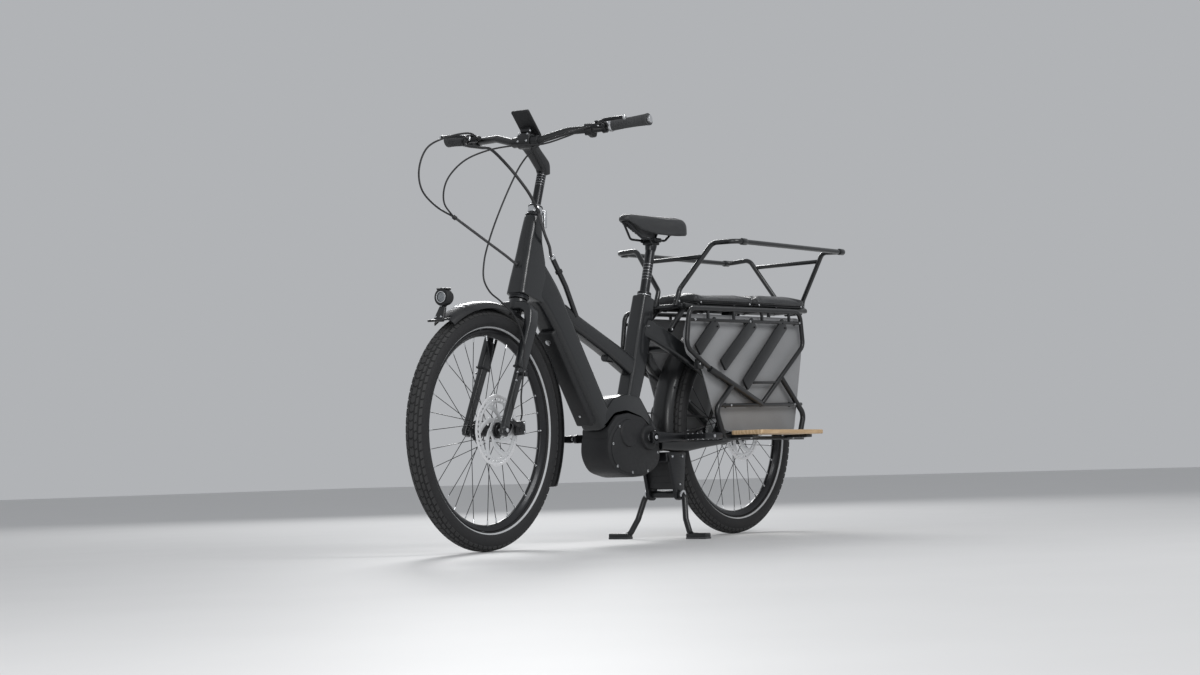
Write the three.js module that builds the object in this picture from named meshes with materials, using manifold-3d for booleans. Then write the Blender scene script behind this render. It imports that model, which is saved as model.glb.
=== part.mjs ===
// Longtail cargo bike with a rigid fork, a box down tube, a low rack with two pads,
// safety rails, side frames with skirts, and a two-leg kickstand.
// Millimetres. X points forward, Y to the rider's left, Z up.
// Shapes are drawn from the point where the rear tyre meets the ground.

import * as THREE from "three";
import { mergeVertices } from "three/addons/utils/BufferGeometryUtils.js";
import Module from "manifold-3d";

const wasm = await Module();
wasm.setup();

// Driving dimensions: wheels
const wheelRadius = 341.5;
const tyreWidth = 61;
const wheelSegments = 30;
const rimOuterRadius = 283;
const rimInnerRadius = 266;
const spokeCount = 32;
const spokeRadius = 1.1;
const rotorRadius = 101.5;
const frontRotorY = 39;
const rearRotorY = 44;
const rotorBore = 18;
const axleRadius = 6;
const wheelbase = 1265;

// Driving dimensions: steering
const headAngle = THREE.MathUtils.degToRad(72);
const steerAngle = THREE.MathUtils.degToRad(4.4);
const headPoint = new THREE.Vector3(1021, 0, 960);
const turnedWheelDrop = 0.2;
const frontHubHeight = wheelRadius + turnedWheelDrop;
const hubForward = (wheelbase - headPoint.x) * Math.sin(headAngle)
  + (frontHubHeight - headPoint.z) * Math.cos(headAngle);
const hubUp = (headPoint.x - wheelbase) * Math.cos(headAngle)
  + (frontHubHeight - headPoint.z) * Math.sin(headAngle);
const headTubeTop = 10;
const headTubeBottom = -240;
const steererRadius = 15.5;
const stemPostRadius = 12.5;

// Driving dimensions: frame and drive
const crankAxis = new THREE.Vector3(554, 0, 318);
const crankLength = 170;
const crankY = 90;
const beltY = -68;
const beltRingRadius = 87;
const sprocketRadius = 42;
const dropoutY = 84;
const seatAngle = THREE.MathUtils.degToRad(74);
const seatTop = new THREE.Vector3(474, 0, 760);
const seatpostRadius = 15.4;

// Driving dimensions: load part
const padHalfWidth = 80;
const padFrontX = 294;
const padSeamX = -52;
const padRearX = -378;
const padBaseZ = 748.5;
const deckZ = 738;
const deckRailY = 62;
const deckFrontX = 341;
const deckRearX = -401;
const railY = 235;
const railZ = 931;
const rackSlope = THREE.MathUtils.degToRad(1.4);
const sideFrameY = 125;
const skirtY = 106;
const skirtThickness = 3;
const footboardZ = 322;
const footboardThickness = 14;

// Driving dimensions: kickstand
const standPivot = new THREE.Vector3(390, 0, 139);
const standFootX = 430;
const standFootY = 150;

const finishes = {
  framePaint: { color: 0x17191b, roughness: 0.38, metalness: 0.3 },
  satinBlack: { color: 0x121314, roughness: 0.5, metalness: 0.3 },
  blackPlastic: { color: 0x0f1011, roughness: 0.6, metalness: 0 },
  rubber: { color: 0x0c0c0d, roughness: 0.85, metalness: 0 },
  tyre: { color: 0x101011, roughness: 0.9, metalness: 0 },
  steel: { color: 0xb9bcbf, roughness: 0.3, metalness: 1 },
  blackAlloy: { color: 0x151617, roughness: 0.35, metalness: 0.7 },
  greyPanel: { color: 0x6a6d70, roughness: 0.7, metalness: 0 },
  wood: { color: 0xc9ad86, roughness: 0.55, metalness: 0 },
  vinyl: { color: 0x1b1c1e, roughness: 0.6, metalness: 0 },
  redLens: { color: 0x8a1010, roughness: 0.2, metalness: 0 },
  screen: { color: 0x0a0d10, roughness: 0.15, metalness: 0 },
};

const v3 = (x, y, z) => new THREE.Vector3(x, y, z);

// A closed geometry as a solid for joining and cutting
function toSolid(geometry) {
  let plain = geometry.index ? geometry.toNonIndexed() : geometry.clone();
  plain.deleteAttribute("normal");
  plain.deleteAttribute("uv");
  plain = mergeVertices(plain, 1e-4);
  const mesh = new wasm.Mesh({
    numProp: 3,
    vertProperties: new Float32Array(plain.attributes.position.array),
    triVerts: new Uint32Array(plain.index.array),
  });
  return new wasm.Manifold(mesh);
}

function toGeometry(solid) {
  const mesh = solid.getMesh();
  const geometry = new THREE.BufferGeometry();
  geometry.setAttribute("position", new THREE.BufferAttribute(new Float32Array(mesh.vertProperties), 3));
  geometry.setIndex(new THREE.BufferAttribute(new Uint32Array(mesh.triVerts), 1));
  return geometry;
}

function join(geometries) {
  return geometries.map(toSolid).reduce((sum, next) => sum.add(next));
}

function cut(solid, geometries) {
  return geometries.map(toSolid).reduce((rest, tool) => rest.subtract(tool), solid);
}

function piece(name, shape, finish) {
  const geometry = shape instanceof THREE.BufferGeometry ? shape : toGeometry(shape);
  const mesh = new THREE.Mesh(geometry, new THREE.MeshStandardMaterial(finishes[finish]));
  mesh.name = name;
  return mesh;
}

function group(...children) {
  const holder = new THREE.Group();
  holder.add(...children);
  return holder;
}

function box(centre, size) {
  return new THREE.BoxGeometry(...size).translate(...centre);
}

// Straight round bar between two points
function rod(from, to, radius, sides = 8, endRadius = radius) {
  const axis = to.clone().sub(from);
  const geometry = new THREE.CylinderGeometry(endRadius, radius, axis.length(), sides);
  const turn = new THREE.Quaternion().setFromUnitVectors(v3(0, 1, 0), axis.clone().normalize());
  return geometry.applyQuaternion(turn).translate(...from.clone().add(to).multiplyScalar(0.5));
}

// Ring turned round the Y axis from a closed profile of [radius, y] points
function turned(profile, segments, centre = v3(0, 0, 0)) {
  const points = profile.map(([radius, y]) => new THREE.Vector2(radius, y));
  points.push(points[0].clone());
  return outward(new THREE.LatheGeometry(points, segments).translate(...centre));
}

function washer(inner, outer, low, high) {
  return [[inner, low], [outer, low], [outer, high], [inner, high]];
}

// Turns a closed geometry's faces to point out when they point in
function outward(geometry) {
  let flat = geometry.index ? geometry.toNonIndexed() : geometry;
  flat.deleteAttribute("normal");
  flat.deleteAttribute("uv");
  flat = mergeVertices(flat, 1e-4);
  const position = flat.attributes.position;
  const index = flat.index.array;
  const corner = [v3(0, 0, 0), v3(0, 0, 0), v3(0, 0, 0)];
  let volume = 0;
  for (let face = 0; face < index.length; face += 3) {
    corner.forEach((point, k) => point.fromBufferAttribute(position, index[face + k]));
    volume += corner[0].dot(corner[1].clone().cross(corner[2]));
  }
  if (volume < 0) {
    for (let face = 0; face < index.length; face += 3) {
      [index[face], index[face + 1]] = [index[face + 1], index[face]];
    }
  }
  return flat;
}

// Outline of [x, z] points made into a plate between two Y planes
function plate(outline, lowY, highY, holes = []) {
  const shape = new THREE.Shape(outline.map(([x, z]) => new THREE.Vector2(x, z)));
  for (const hole of holes) {
    shape.holes.push(new THREE.Path(hole.map(([x, z]) => new THREE.Vector2(x, z))));
  }
  const geometry = new THREE.ExtrudeGeometry(shape, { depth: highY - lowY, bevelEnabled: false });
  return geometry.rotateX(Math.PI / 2).translate(0, highY, 0);
}

// Path of straight runs joined by round bends, with a station only where the direction changes
class BentPath extends THREE.Curve {
  constructor(corners, bendRadius, turnsPerBend = 3) {
    super();
    this.stations = [];
    const last = corners.length - 1;
    const first = corners[1].clone().sub(corners[0]).normalize();
    this.stations.push({ point: corners[0], tangent: first });
    for (let k = 1; k < last; k += 1) {
      this.addBend(corners[k - 1], corners[k], corners[k + 1], bendRadius, turnsPerBend);
    }
    const end = corners[last].clone().sub(corners[last - 1]).normalize();
    this.stations.push({ point: corners[last], tangent: end });
  }

  addBend(before, corner, after, bendRadius, turns) {
    const arrive = corner.clone().sub(before).normalize();
    const leave = after.clone().sub(corner).normalize();
    const angle = arrive.angleTo(leave);
    const reach = bendRadius * Math.tan(angle / 2);
    const inward = leave.clone().sub(arrive).normalize();
    const centre = corner.clone().addScaledVector(inward, bendRadius / Math.cos(angle / 2));
    const start = corner.clone().addScaledVector(arrive, -reach).sub(centre);
    const axis = arrive.clone().cross(leave).normalize();
    for (let k = 0; k <= turns; k += 1) {
      const turn = (angle * k) / turns;
      this.stations.push({
        point: start.clone().applyAxisAngle(axis, turn).add(centre),
        tangent: arrive.clone().applyAxisAngle(axis, turn),
      });
    }
  }

  get steps() {
    return this.stations.length - 1;
  }

  getPointAt(u, target = v3(0, 0, 0)) {
    return target.copy(this.stations[Math.round(u * this.steps)].point);
  }

  getTangentAt(u, target = v3(0, 0, 0)) {
    return target.copy(this.stations[Math.round(u * this.steps)].tangent);
  }
}

function circleShape(radius, sides) {
  const points = [];
  for (let k = 0; k < sides; k += 1) {
    const angle = (2 * Math.PI * k) / sides;
    points.push(new THREE.Vector2(radius * Math.cos(angle), radius * Math.sin(angle)));
  }
  return new THREE.Shape(points);
}

function bentTube(corners, radius, bendRadius, sides = 8, turnsPerBend = 3) {
  const path = new BentPath(corners, bendRadius, turnsPerBend);
  return new THREE.ExtrudeGeometry(circleShape(radius, sides), { steps: path.steps, extrudePath: path });
}

// Hose or cable on one smooth curve through its points
function hose(points, radius, steps, sides = 6) {
  const path = new THREE.CatmullRomCurve3(points, false, "centripetal");
  return new THREE.ExtrudeGeometry(circleShape(radius, sides), { steps, extrudePath: path });
}

// Section of a rounded box: halfA along dirA, halfB along dirB, each corner cut in facets
function section(centre, dirA, halfA, dirB, halfB, cornerRadius, facets = 1) {
  const points = [];
  const radius = Math.min(cornerRadius, halfA * 0.98, halfB * 0.98);
  for (let corner = 0; corner < 4; corner += 1) {
    const signA = corner === 0 || corner === 3 ? 1 : -1;
    const signB = corner < 2 ? 1 : -1;
    for (let k = 0; k <= facets; k += 1) {
      const angle = (Math.PI / 2) * (corner + k / facets);
      const a = signA * (halfA - radius) + radius * Math.cos(angle);
      const b = signB * (halfB - radius) + radius * Math.sin(angle);
      points.push(centre.clone().addScaledVector(dirA, a).addScaledVector(dirB, b));
    }
  }
  return points;
}

// Skin over a row of sections with the same number of points, closed by a fan at each end
function loft(sections) {
  const count = sections[0].length;
  const points = sections.flat();
  const index = [];
  for (let ring = 0; ring < sections.length - 1; ring += 1) {
    for (let k = 0; k < count; k += 1) {
      const next = (k + 1) % count;
      const a = ring * count + k;
      const b = ring * count + next;
      index.push(a, b, b + count, a, b + count, a + count);
    }
  }
  const endRing = (sections.length - 1) * count;
  for (let k = 1; k < count - 1; k += 1) {
    index.push(0, k + 1, k);
    index.push(endRing, endRing + k, endRing + k + 1);
  }
  const geometry = new THREE.BufferGeometry().setFromPoints(points);
  geometry.setIndex(index);
  return outward(geometry);
}

// Box tube along a row of stations in the XZ plane: [x, y, z, half depth, half width, corner radius]
function boxTube(stations, facets = 1) {
  const centres = stations.map(([x, y, z]) => v3(x, y, z));
  const sections = stations.map(([, , , depth, width, corner], k) => {
    const from = centres[Math.max(k - 1, 0)];
    const to = centres[Math.min(k + 1, centres.length - 1)];
    const along = to.clone().sub(from).normalize();
    const across = v3(0, 1, 0).addScaledVector(along, -along.y).normalize();
    const deep = along.clone().cross(across);
    return section(centres[k], deep, depth, across, width, corner, facets);
  });
  return loft(sections);
}

// Round outline of [x, z] points
function roundOutline(centreX, centreZ, radius, count, start = 0) {
  const points = [];
  for (let k = 0; k < count; k += 1) {
    const angle = start + (2 * Math.PI * k) / count;
    points.push([centreX + radius * Math.cos(angle), centreZ + radius * Math.sin(angle)]);
  }
  return points;
}

function mirrored(points) {
  return points.map((point) => v3(point.x, -point.y, point.z));
}

// Height gained towards the rear by everything that follows the sloping rack
function rackRise(x) {
  return (padFrontX - x) * Math.tan(rackSlope);
}

// Wheels are drawn round the Y axis and placed by their hub.

function tyreRing() {
  const half = tyreWidth / 2;
  const crown = wheelRadius;
  const profile = [
    [crown, -10], [crown, 10], [crown - 9, 24], [crown - 27, half], [rimOuterRadius + 1, 15],
    [rimOuterRadius + 1, -15], [crown - 27, -half], [crown - 9, -24],
  ];
  return turned(profile, wheelSegments);
}

function rimRing() {
  const profile = [
    [rimOuterRadius, -15], [rimOuterRadius, 15], [rimInnerRadius, 8], [rimInnerRadius, -8],
  ];
  return turned(profile, wheelSegments);
}

// Hub shell with its spokes: each spoke leaves a flange on a tangent and ends at the rim.
// The left end carries the rotor; the right end reaches out to rightEnd.
function lacedHub(shellRadius, flangeRadius, rightEnd, rightRadius) {
  const bore = axleRadius + 0.8;
  const carrier = rotorBore - 0.4;
  const profile = [
    [bore, -rightEnd], [rightRadius, -rightEnd], [rightRadius, -49], [15, -45], [flangeRadius, -33],
    [flangeRadius, -27], [shellRadius, -22], [shellRadius, 22], [flangeRadius, 27],
    [flangeRadius, 33], [carrier, 34], [carrier, 49], [bore, 49],
  ];
  const parts = [turned(profile, 16)];
  const crossing = THREE.MathUtils.degToRad(62);
  for (let k = 0; k < spokeCount; k += 1) {
    const side = k % 2 === 0 ? 1 : -1;
    const lean = k % 4 < 2 ? 1 : -1;
    const rimAngle = (2 * Math.PI * k) / spokeCount;
    const hubAngle = rimAngle + lean * crossing;
    const start = v3(Math.cos(hubAngle), 0, Math.sin(hubAngle)).multiplyScalar(flangeRadius - 3);
    const end = v3(Math.cos(rimAngle), 0, Math.sin(rimAngle)).multiplyScalar(rimInnerRadius - 2);
    start.y = side * (30 + 2 * lean);
    end.y = side * (3 + 1.6 * lean);
    parts.push(rod(start, end, spokeRadius, 3));
  }
  return join(parts);
}

// Brake disc with curved arms between the braking ring and the hub carrier
function rotorDisc(rotorY) {
  const windows = [];
  const arms = 5;
  for (let k = 0; k < arms; k += 1) {
    const start = (2 * Math.PI * k) / arms;
    const outline = [];
    for (let step = 0; step <= 3; step += 1) {
      const angle = start + 0.12 + (step / 3) * 0.98;
      outline.push([84 * Math.cos(angle), 84 * Math.sin(angle)]);
    }
    for (let step = 0; step <= 2; step += 1) {
      const angle = start + 0.78 - (step / 2) * 0.9;
      outline.push([30 * Math.cos(angle), 30 * Math.sin(angle)]);
    }
    windows.push(outline);
  }
  const bore = roundOutline(0, 0, rotorBore, 16);
  const edge = roundOutline(0, 0, rotorRadius, 30);
  return plate(edge, rotorY - 1, rotorY + 1, [...windows, bore]);
}

function wheel(prefix, hub, rotorY) {
  return group(
    piece(`${prefix}_tyre`, tyreRing(), "tyre"),
    piece(`${prefix}_rim`, rimRing(), "blackAlloy"),
    piece(`${prefix}_hub_and_spokes`, hub, "blackAlloy"),
    piece(`${prefix}_rotor`, rotorDisc(rotorY), "steel"),
  );
}

// Mudguard: a thin channel carried round the wheel between two angles.
// radiusAt gives its outer radius at an angle measured from forward over the top.
function mudguard(fromAngle, toAngle, steps, halfWidth, radiusAt) {
  const depth = 22;
  const wall = 2.4;
  const profile = [
    [0, -halfWidth * 0.45], [-7, -halfWidth * 0.85], [-depth, -halfWidth],
    [-depth, wall - halfWidth], [-7 - wall, wall - halfWidth * 0.85], [-wall, -halfWidth * 0.42],
    [-wall, halfWidth * 0.42], [-7 - wall, halfWidth * 0.85 - wall], [-depth, halfWidth - wall],
    [-depth, halfWidth], [-7, halfWidth * 0.85], [0, halfWidth * 0.45],
  ];
  const sections = [];
  for (let k = 0; k <= steps; k += 1) {
    const angle = fromAngle + ((toAngle - fromAngle) * k) / steps;
    const radius = radiusAt(angle);
    sections.push(profile.map(([drop, y]) => v3(
      (radius + drop) * Math.cos(angle), y, (radius + drop) * Math.sin(angle),
    )));
  }
  return channelLoft(sections);
}

// Skin over channel sections; the ends are closed by strips between the outer and inner edge
function channelLoft(sections) {
  const count = sections[0].length;
  const half = count / 2;
  const index = [];
  for (let ring = 0; ring < sections.length - 1; ring += 1) {
    for (let k = 0; k < count; k += 1) {
      const a = ring * count + k;
      const b = ring * count + ((k + 1) % count);
      index.push(a, b, b + count, a, b + count, a + count);
    }
  }
  const endRing = (sections.length - 1) * count;
  // Outer edge runs 9, 10, 11, 0, 1, 2; inner edge runs 8, 7, 6, 5, 4, 3.
  for (let k = 0; k < half - 1; k += 1) {
    const outer = [(half + 3 + k) % count, (half + 4 + k) % count];
    const inner = [half + 2 - k, half + 1 - k];
    for (const [start, flip] of [[0, true], [endRing, false]]) {
      const quad = [start + outer[0], start + outer[1], start + inner[1], start + inner[0]];
      if (flip) quad.reverse();
      index.push(quad[0], quad[1], quad[2], quad[0], quad[2], quad[3]);
    }
  }
  const geometry = new THREE.BufferGeometry().setFromPoints(sections.flat());
  geometry.setIndex(index);
  return outward(geometry);
}

// Frame

// Point on the steering axis, up from the head point, in drawing coordinates
function onHeadAxis(up, forward = 0) {
  return v3(
    headPoint.x - up * Math.cos(headAngle) + forward * Math.sin(headAngle),
    0,
    headPoint.z + up * Math.sin(headAngle) + forward * Math.cos(headAngle),
  );
}

// Point on the seat tube axis, down from its top
function onSeatAxis(down) {
  return v3(seatTop.x + down * Math.cos(seatAngle), 0, seatTop.z - down * Math.sin(seatAngle));
}

// Web that carries the down tube's back up behind the head tube
function headWeb() {
  const station = (up, forward, depth, width) => {
    const spot = onHeadAxis(up, forward);
    return [spot.x, 0, spot.z, depth, width, 12];
  };
  return boxTube([
    station(-15, -11, 14, 19), station(-70, -18, 23, 22), station(-125, -32, 38, 27),
    station(-205, -40, 42, 32),
  ]);
}

// Guide that takes the cable bundle along the down tube's back into the frame
function cableGuide() {
  return bentTube([v3(966, 24, 852), v3(905, 24, 770), v3(852, 20, 682)], 8, 60, 8, 2);
}

function downTube() {
  return boxTube([
    [1052, 0, 812, 62, 22, 20],
    [1022, 0, 776, 58, 30, 22],
    [985, 0, 736, 50, 37, 22],
    [930, 0, 655, 43, 40, 20],
    [760, 0, 399, 38, 41, 20],
    [735, 0, 361, 37, 41, 20],
  ]);
}

function topTube() {
  return boxTube([
    [905, 0, 697, 24, 22, 14],
    [845, 0, 664, 25, 24, 14],
    [700, 0, 602, 26, 24, 14],
    [600, 0, 556, 30, 23, 14],
    [530, 0, 524, 34, 22, 14],
  ]);
}

function seatTube() {
  const top = onSeatAxis(0);
  const upper = onSeatAxis(115);
  const middle = onSeatAxis(230);
  return boxTube([
    [top.x, 0, top.z, 31, 26, 12],
    [upper.x, 0, upper.z, 36, 27, 12],
    [middle.x, 0, middle.z, 34, 27, 12],
    [590, 0, 400, 29, 26, 12],
    [600, 0, 380, 28, 26, 12],
  ]);
}

// Plate shell over the motor that ties the down tube, seat tube and chain stays together
function motorYoke() {
  const outline = [
    [757, 345], [700, 388], [640, 396], [560, 376], [482, 312], [446, 300], [442, 279],
    [427, 277], [420, 318], [470, 338], [520, 392], [566, 446], [640, 452], [700, 440], [748, 398],
  ];
  return plate(outline, -42, 42);
}

function chainStay(side) {
  return boxTube([
    [470, side * 38, 300, 22, 15, 9],
    [400, side * 46, 297, 24, 11, 8],
    [330, side * 54, 297, 21, 9, 7],
    [150, side * 74, 312, 16, 9, 7],
    [50, side * dropoutY, 334, 15, 5, 4],
    [10, side * dropoutY, 341, 18, 4, 3],
  ]);
}

// Heavy upper stay: thick from the seat tube to the side frame's clamp, slim on to the dropout.
// Growing it gives the cutter for whatever sits against it.
function upperStay(side, growth = 0) {
  return boxTube([
    [505, side * 12, 668, 30, 12, 9],
    [455, side * 36, 640, 30, 13, 9],
    [400, side * 66, 602, 28, 13, 9],
    [300, side * 92, 538, 20, 10, 8],
    [150, side * 91, 448, 12, 8, 6],
    [30, side * dropoutY, 372, 11, 5, 4],
    [8, side * dropoutY, 356, 12, 4, 3],
  ].map(([x, y, z, depth, width, corner]) => [x, y, z, depth + growth, width + growth, corner]));
}

function dropout(side) {
  const outline = [[24, 322], [24, 372], [-8, 366], [-18, 348], [-18, 332], [-6, 320]];
  const y = side * dropoutY;
  return plate(outline, y - 4, y + 4);
}

function mainFrame() {
  const head = rod(onHeadAxis(headTubeBottom), onHeadAxis(headTubeTop), 28, 16, 24);
  const gusset = rod(v3(590, 0, 556), v3(690, 0, 566), 14, 8);
  const stays = [1, -1].flatMap((side) => [chainStay(side), upperStay(side), dropout(side)]);
  const bridge = rod(v3(392, -62, 600), v3(392, 62, 600), 12, 8);
  const axle = rod(v3(0, -92, wheelRadius), v3(0, 92, wheelRadius), axleRadius, 12);
  const body = join([
    head, headWeb(), downTube(), topTube(), seatTube(), motorYoke(), cableGuide(), gusset, bridge, axle,
    ...stays,
  ]);
  const steererBore = rod(onHeadAxis(headTubeBottom - 5), onHeadAxis(headTubeTop + 5), 21, 16);
  const seatBore = rod(onSeatAxis(-5), onSeatAxis(262), seatpostRadius + 0.5, 16);
  return cut(body, [steererBore, seatBore, batteryBay(0)]);
}

// Slot in the underside of the down tube, open to the front; shrink makes the pack that fills it
function batteryBay(shrink) {
  const along = v3(Math.cos(THREE.MathUtils.degToRad(56.5)), 0, Math.sin(THREE.MathUtils.degToRad(56.5)));
  const front = v3(along.z, 0, -along.x);
  const start = v3(764, 0, 372).addScaledVector(along, shrink);
  const end = v3(950, 0, 653).addScaledVector(along, -shrink);
  const half = 31 - shrink;
  const depth = 27 - shrink;
  const side = v3(0, 1, 0);
  const lift = shrink > 0 ? -2 : 6;
  return loft([start, end].map((point) => section(
    point.clone().addScaledVector(front, lift), front, depth + lift, side, half, 8,
  )));
}

function headsetRing(low, high, radius) {
  const ring = turned(washer(steererRadius + 0.5, radius, low, high), 16);
  return ring.rotateX(Math.PI / 2);
}

function seatCollar() {
  const ring = new THREE.Group();
  const bore = seatpostRadius + 0.4;
  const band = turned(washer(bore, 22, 0.4, 17), 16);
  const ear = box([-25, 8.5, 0], [12, 13, 13]);
  const collar = join([band, ear]).subtract(toSolid(rod(v3(0, -2, 0), v3(0, 20, 0), bore, 16)));
  ring.add(piece("seat_collar", collar, "blackAlloy"));
  ring.rotation.x = Math.PI / 2;
  return ring;
}

// Motor casting, slung under the yoke, with the bore for the crank spindle
function motorUnit() {
  const outline = [
    [752, 322], [758, 262], [722, 214], [640, 196], [560, 200], [506, 226], [486, 252],
    [486, 296], [560, 362], [640, 384], [698, 376],
  ];
  const cover = rod(v3(655, 50, 332), v3(655, 64, 332), 44, 16, 40);
  const boss = rod(v3(crankAxis.x, 50, crankAxis.z), v3(crankAxis.x, 68, crankAxis.z), 40, 16, 36);
  const bore = rod(v3(crankAxis.x, -80, crankAxis.z), v3(crankAxis.x, 80, crankAxis.z), 13, 12);
  return cut(join([plate(outline, -54, 56), cover, boss]), [bore]);
}

// Crank arm lying from the spindle towards the pedal; side is +1 left, -1 right
function crankArm(side) {
  const reach = -side * crankLength;
  const inner = side * (crankY - 7);
  const outer = side * crankY;
  const arm = boxTube([
    [crankAxis.x - reach * 0.1, inner, crankAxis.z, 19, 7, 6],
    [crankAxis.x + reach * 0.12, inner, crankAxis.z, 18, 7, 6],
    [crankAxis.x + reach * 0.5, outer, crankAxis.z, 13, 6, 5],
    [crankAxis.x + reach, outer, crankAxis.z, 13, 6.5, 5],
    [crankAxis.x + reach * 1.08, outer, crankAxis.z, 10, 6, 5],
  ]);
  const pedalPin = rod(
    v3(crankAxis.x + reach, outer, crankAxis.z),
    v3(crankAxis.x + reach, side * 196, crankAxis.z), 5, 10,
  );
  if (side > 0) {
    const bore = rod(v3(crankAxis.x, 60, crankAxis.z), v3(crankAxis.x, 110, crankAxis.z), 12.3, 12);
    return cut(join([arm, pedalPin]), [bore]);
  }
  const spindle = rod(v3(crankAxis.x, -80, crankAxis.z), v3(crankAxis.x, 91, crankAxis.z), 12, 12);
  const boss = rod(v3(crankAxis.x, -59, crankAxis.z), v3(crankAxis.x, -78, crankAxis.z), 26, 16);
  return join([arm, pedalPin, spindle, boss]);
}

function pedal(side) {
  const x = crankAxis.x - side * crankLength;
  const centreY = side * 148;
  const cage = toSolid(box([x, centreY, crankAxis.z], [96, 88, 20]));
  const gaps = [-1, 1].map((end) => box([x + end * 26, centreY, crankAxis.z], [26, 66, 30]));
  const pin = rod(v3(x, side * 90, crankAxis.z), v3(x, side * 200, crankAxis.z), 5.6, 10);
  return cut(cage, [...gaps, pin]);
}

function beltRing() {
  const windows = [];
  for (let k = 0; k < 5; k += 1) {
    const start = (2 * Math.PI * k) / 5;
    windows.push([
      ...[0.18, 0.6, 1.05].map((turn) => polar(crankAxis, 74, start + turn)),
      ...[0.95, 0.3].map((turn) => polar(crankAxis, 34, start + turn)),
    ]);
  }
  const bore = roundOutline(crankAxis.x, crankAxis.z, 26.4, 16);
  const edge = roundOutline(crankAxis.x, crankAxis.z, beltRingRadius, 40);
  return plate(edge, beltY - 6, beltY + 6, [...windows, bore]);
}

function polar(centre, radius, angle) {
  return [centre.x + radius * Math.cos(angle), centre.z + radius * Math.sin(angle)];
}

function rearSprocket() {
  const edge = roundOutline(0, wheelRadius, sprocketRadius, 24);
  const bore = roundOutline(0, wheelRadius, axleRadius + 3, 16);
  return plate(edge, beltY - 6, beltY + 6, [bore]);
}

// Belt on its two rings: an arc round each, joined by the outer tangents
function beltOutline(clearance) {
  const front = beltRingRadius + clearance;
  const rear = sprocketRadius + clearance;
  const dx = crankAxis.x;
  const dz = crankAxis.z - wheelRadius;
  const heading = Math.atan2(dz, dx);
  const opening = Math.acos((front - rear) / Math.hypot(dx, dz));
  const outline = [];
  for (let k = 0; k <= 16; k += 1) {
    const angle = heading - opening + (2 * opening * k) / 16;
    outline.push(polar(crankAxis, front, angle));
  }
  for (let k = 0; k <= 10; k += 1) {
    const angle = heading + opening + ((2 * Math.PI - 2 * opening) * k) / 10;
    outline.push(polar({ x: 0, z: wheelRadius }, rear, angle));
  }
  return outline;
}

function driveBelt() {
  return plate(beltOutline(5), beltY - 5.5, beltY + 5.5, [beltOutline(1.2)]);
}

// Brake caliper straddling the rotor's rim at an angle round the hub, on an arm to its mount
function caliper(hub, rotorY, angle, armEnd) {
  const body = box([94, rotorY + 4, 0], [46, 30, 40]);
  const slot = box([84, rotorY, 0], [40, 5, 60]);
  const turnedBody = [body, slot].map((shape) => shape.rotateY(-angle).translate(...hub));
  const arm = rod(v3(hub.x + 97 * Math.cos(angle), rotorY + 12, hub.z + 97 * Math.sin(angle)), armEnd, 7, 8);
  return cut(join([turnedBody[0], arm]), [turnedBody[1]]);
}

function frontCaliper() {
  const angle = THREE.MathUtils.degToRad(158);
  return caliper(v3(hubForward, 0, hubUp), frontRotorY, angle, v3(hubForward - 22, 62, hubUp + 40));
}

function rearCaliper() {
  const angle = THREE.MathUtils.degToRad(50);
  return caliper(v3(0, 0, wheelRadius), rearRotorY, angle, v3(70, 78, 404));
}

function kickstandBracket() {
  const outline = [
    [452, 272], [350, 272], [354, 252], [366, 150], [371, 128], [381, 120], [399, 120], [409, 128],
    [414, 150], [440, 254],
  ];
  const body = plate(outline, -58, 58);
  const hollow = plate([[430, 240], [352, 240], [362, 110], [418, 110]], -46, 46);
  const { x, z } = standPivot;
  const pivotBore = rod(v3(x, -70, z), v3(x, 70, z), 12.6, 12);
  return cut(join([body]), [hollow, pivotBore]);
}

function standLeg(side) {
  return bentTube([
    v3(standPivot.x, side * 30, standPivot.z),
    v3(standPivot.x, side * 74, standPivot.z),
    v3(standPivot.x + 22, side * 92, 62),
    v3(standFootX - 4, side * 118, 11),
    v3(standFootX, side * 150, 9.5),
  ], 9, 20, 8, 2);
}

function kickstand() {
  const barrel = rod(v3(standPivot.x, -66, standPivot.z), v3(standPivot.x, 66, standPivot.z), 11.5, 12);
  const feet = [1, -1].map((side) => box([standFootX, side * standFootY, 9], [30, 76, 18]));
  return join([barrel, standLeg(1), standLeg(-1), ...feet]);
}

// Load part

// Height of the side frames' top bar, which rises to the rear
function sideBarZ(x) {
  return 722 + (405 - x) * 0.027;
}

function rackDeck() {
  const railAt = (x, side) => v3(x, side * deckRailY, deckZ + rackRise(x));
  const rails = [1, -1].map((side) => rod(railAt(deckFrontX, side), railAt(deckRearX, side), 9, 6));
  const crossBars = [deckFrontX - 8, 200, 0, -200, deckRearX + 8].map((x) => rod(railAt(x, -1), railAt(x, 1), 7, 6));
  const arms = [1, -1].flatMap((side) => [270, 60, -200].map((x) => rod(
    railAt(x, side), v3(x, side * 116.8, sideBarZ(x)), 5, 6,
  )));
  const frontStruts = [1, -1].map((side) => rod(v3(325, side * 50, deckZ - 5), v3(420.5, side * 61, 655), 9, 6));
  const rearStays = [1, -1].map((side) => rod(railAt(-170, side), v3(-4, side * 94.8, 352), 6, 6));
  const mudguardFoot = box([0, 0, 727.9], [24, 30, 28]);
  return join([...rails, ...crossBars, ...arms, ...frontStruts, ...rearStays, mudguardFoot]);
}

// One handrail loop: up from the deck, out to the side, back along the load and down again
function railLoop(side) {
  const rear = railZ + 13;
  return bentTube([
    v3(357, side * 40, 737),
    v3(333, side * 41, 792),
    v3(298, side * 150, 934),
    v3(290, side * railY, railZ + 2),
    v3(-378, side * railY, rear),
    v3(-386, side * 150, 950),
    v3(-410, side * 50, 792),
    v3(-410, side * 42, 755),
  ], 8, 26, 6, 2);
}

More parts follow.
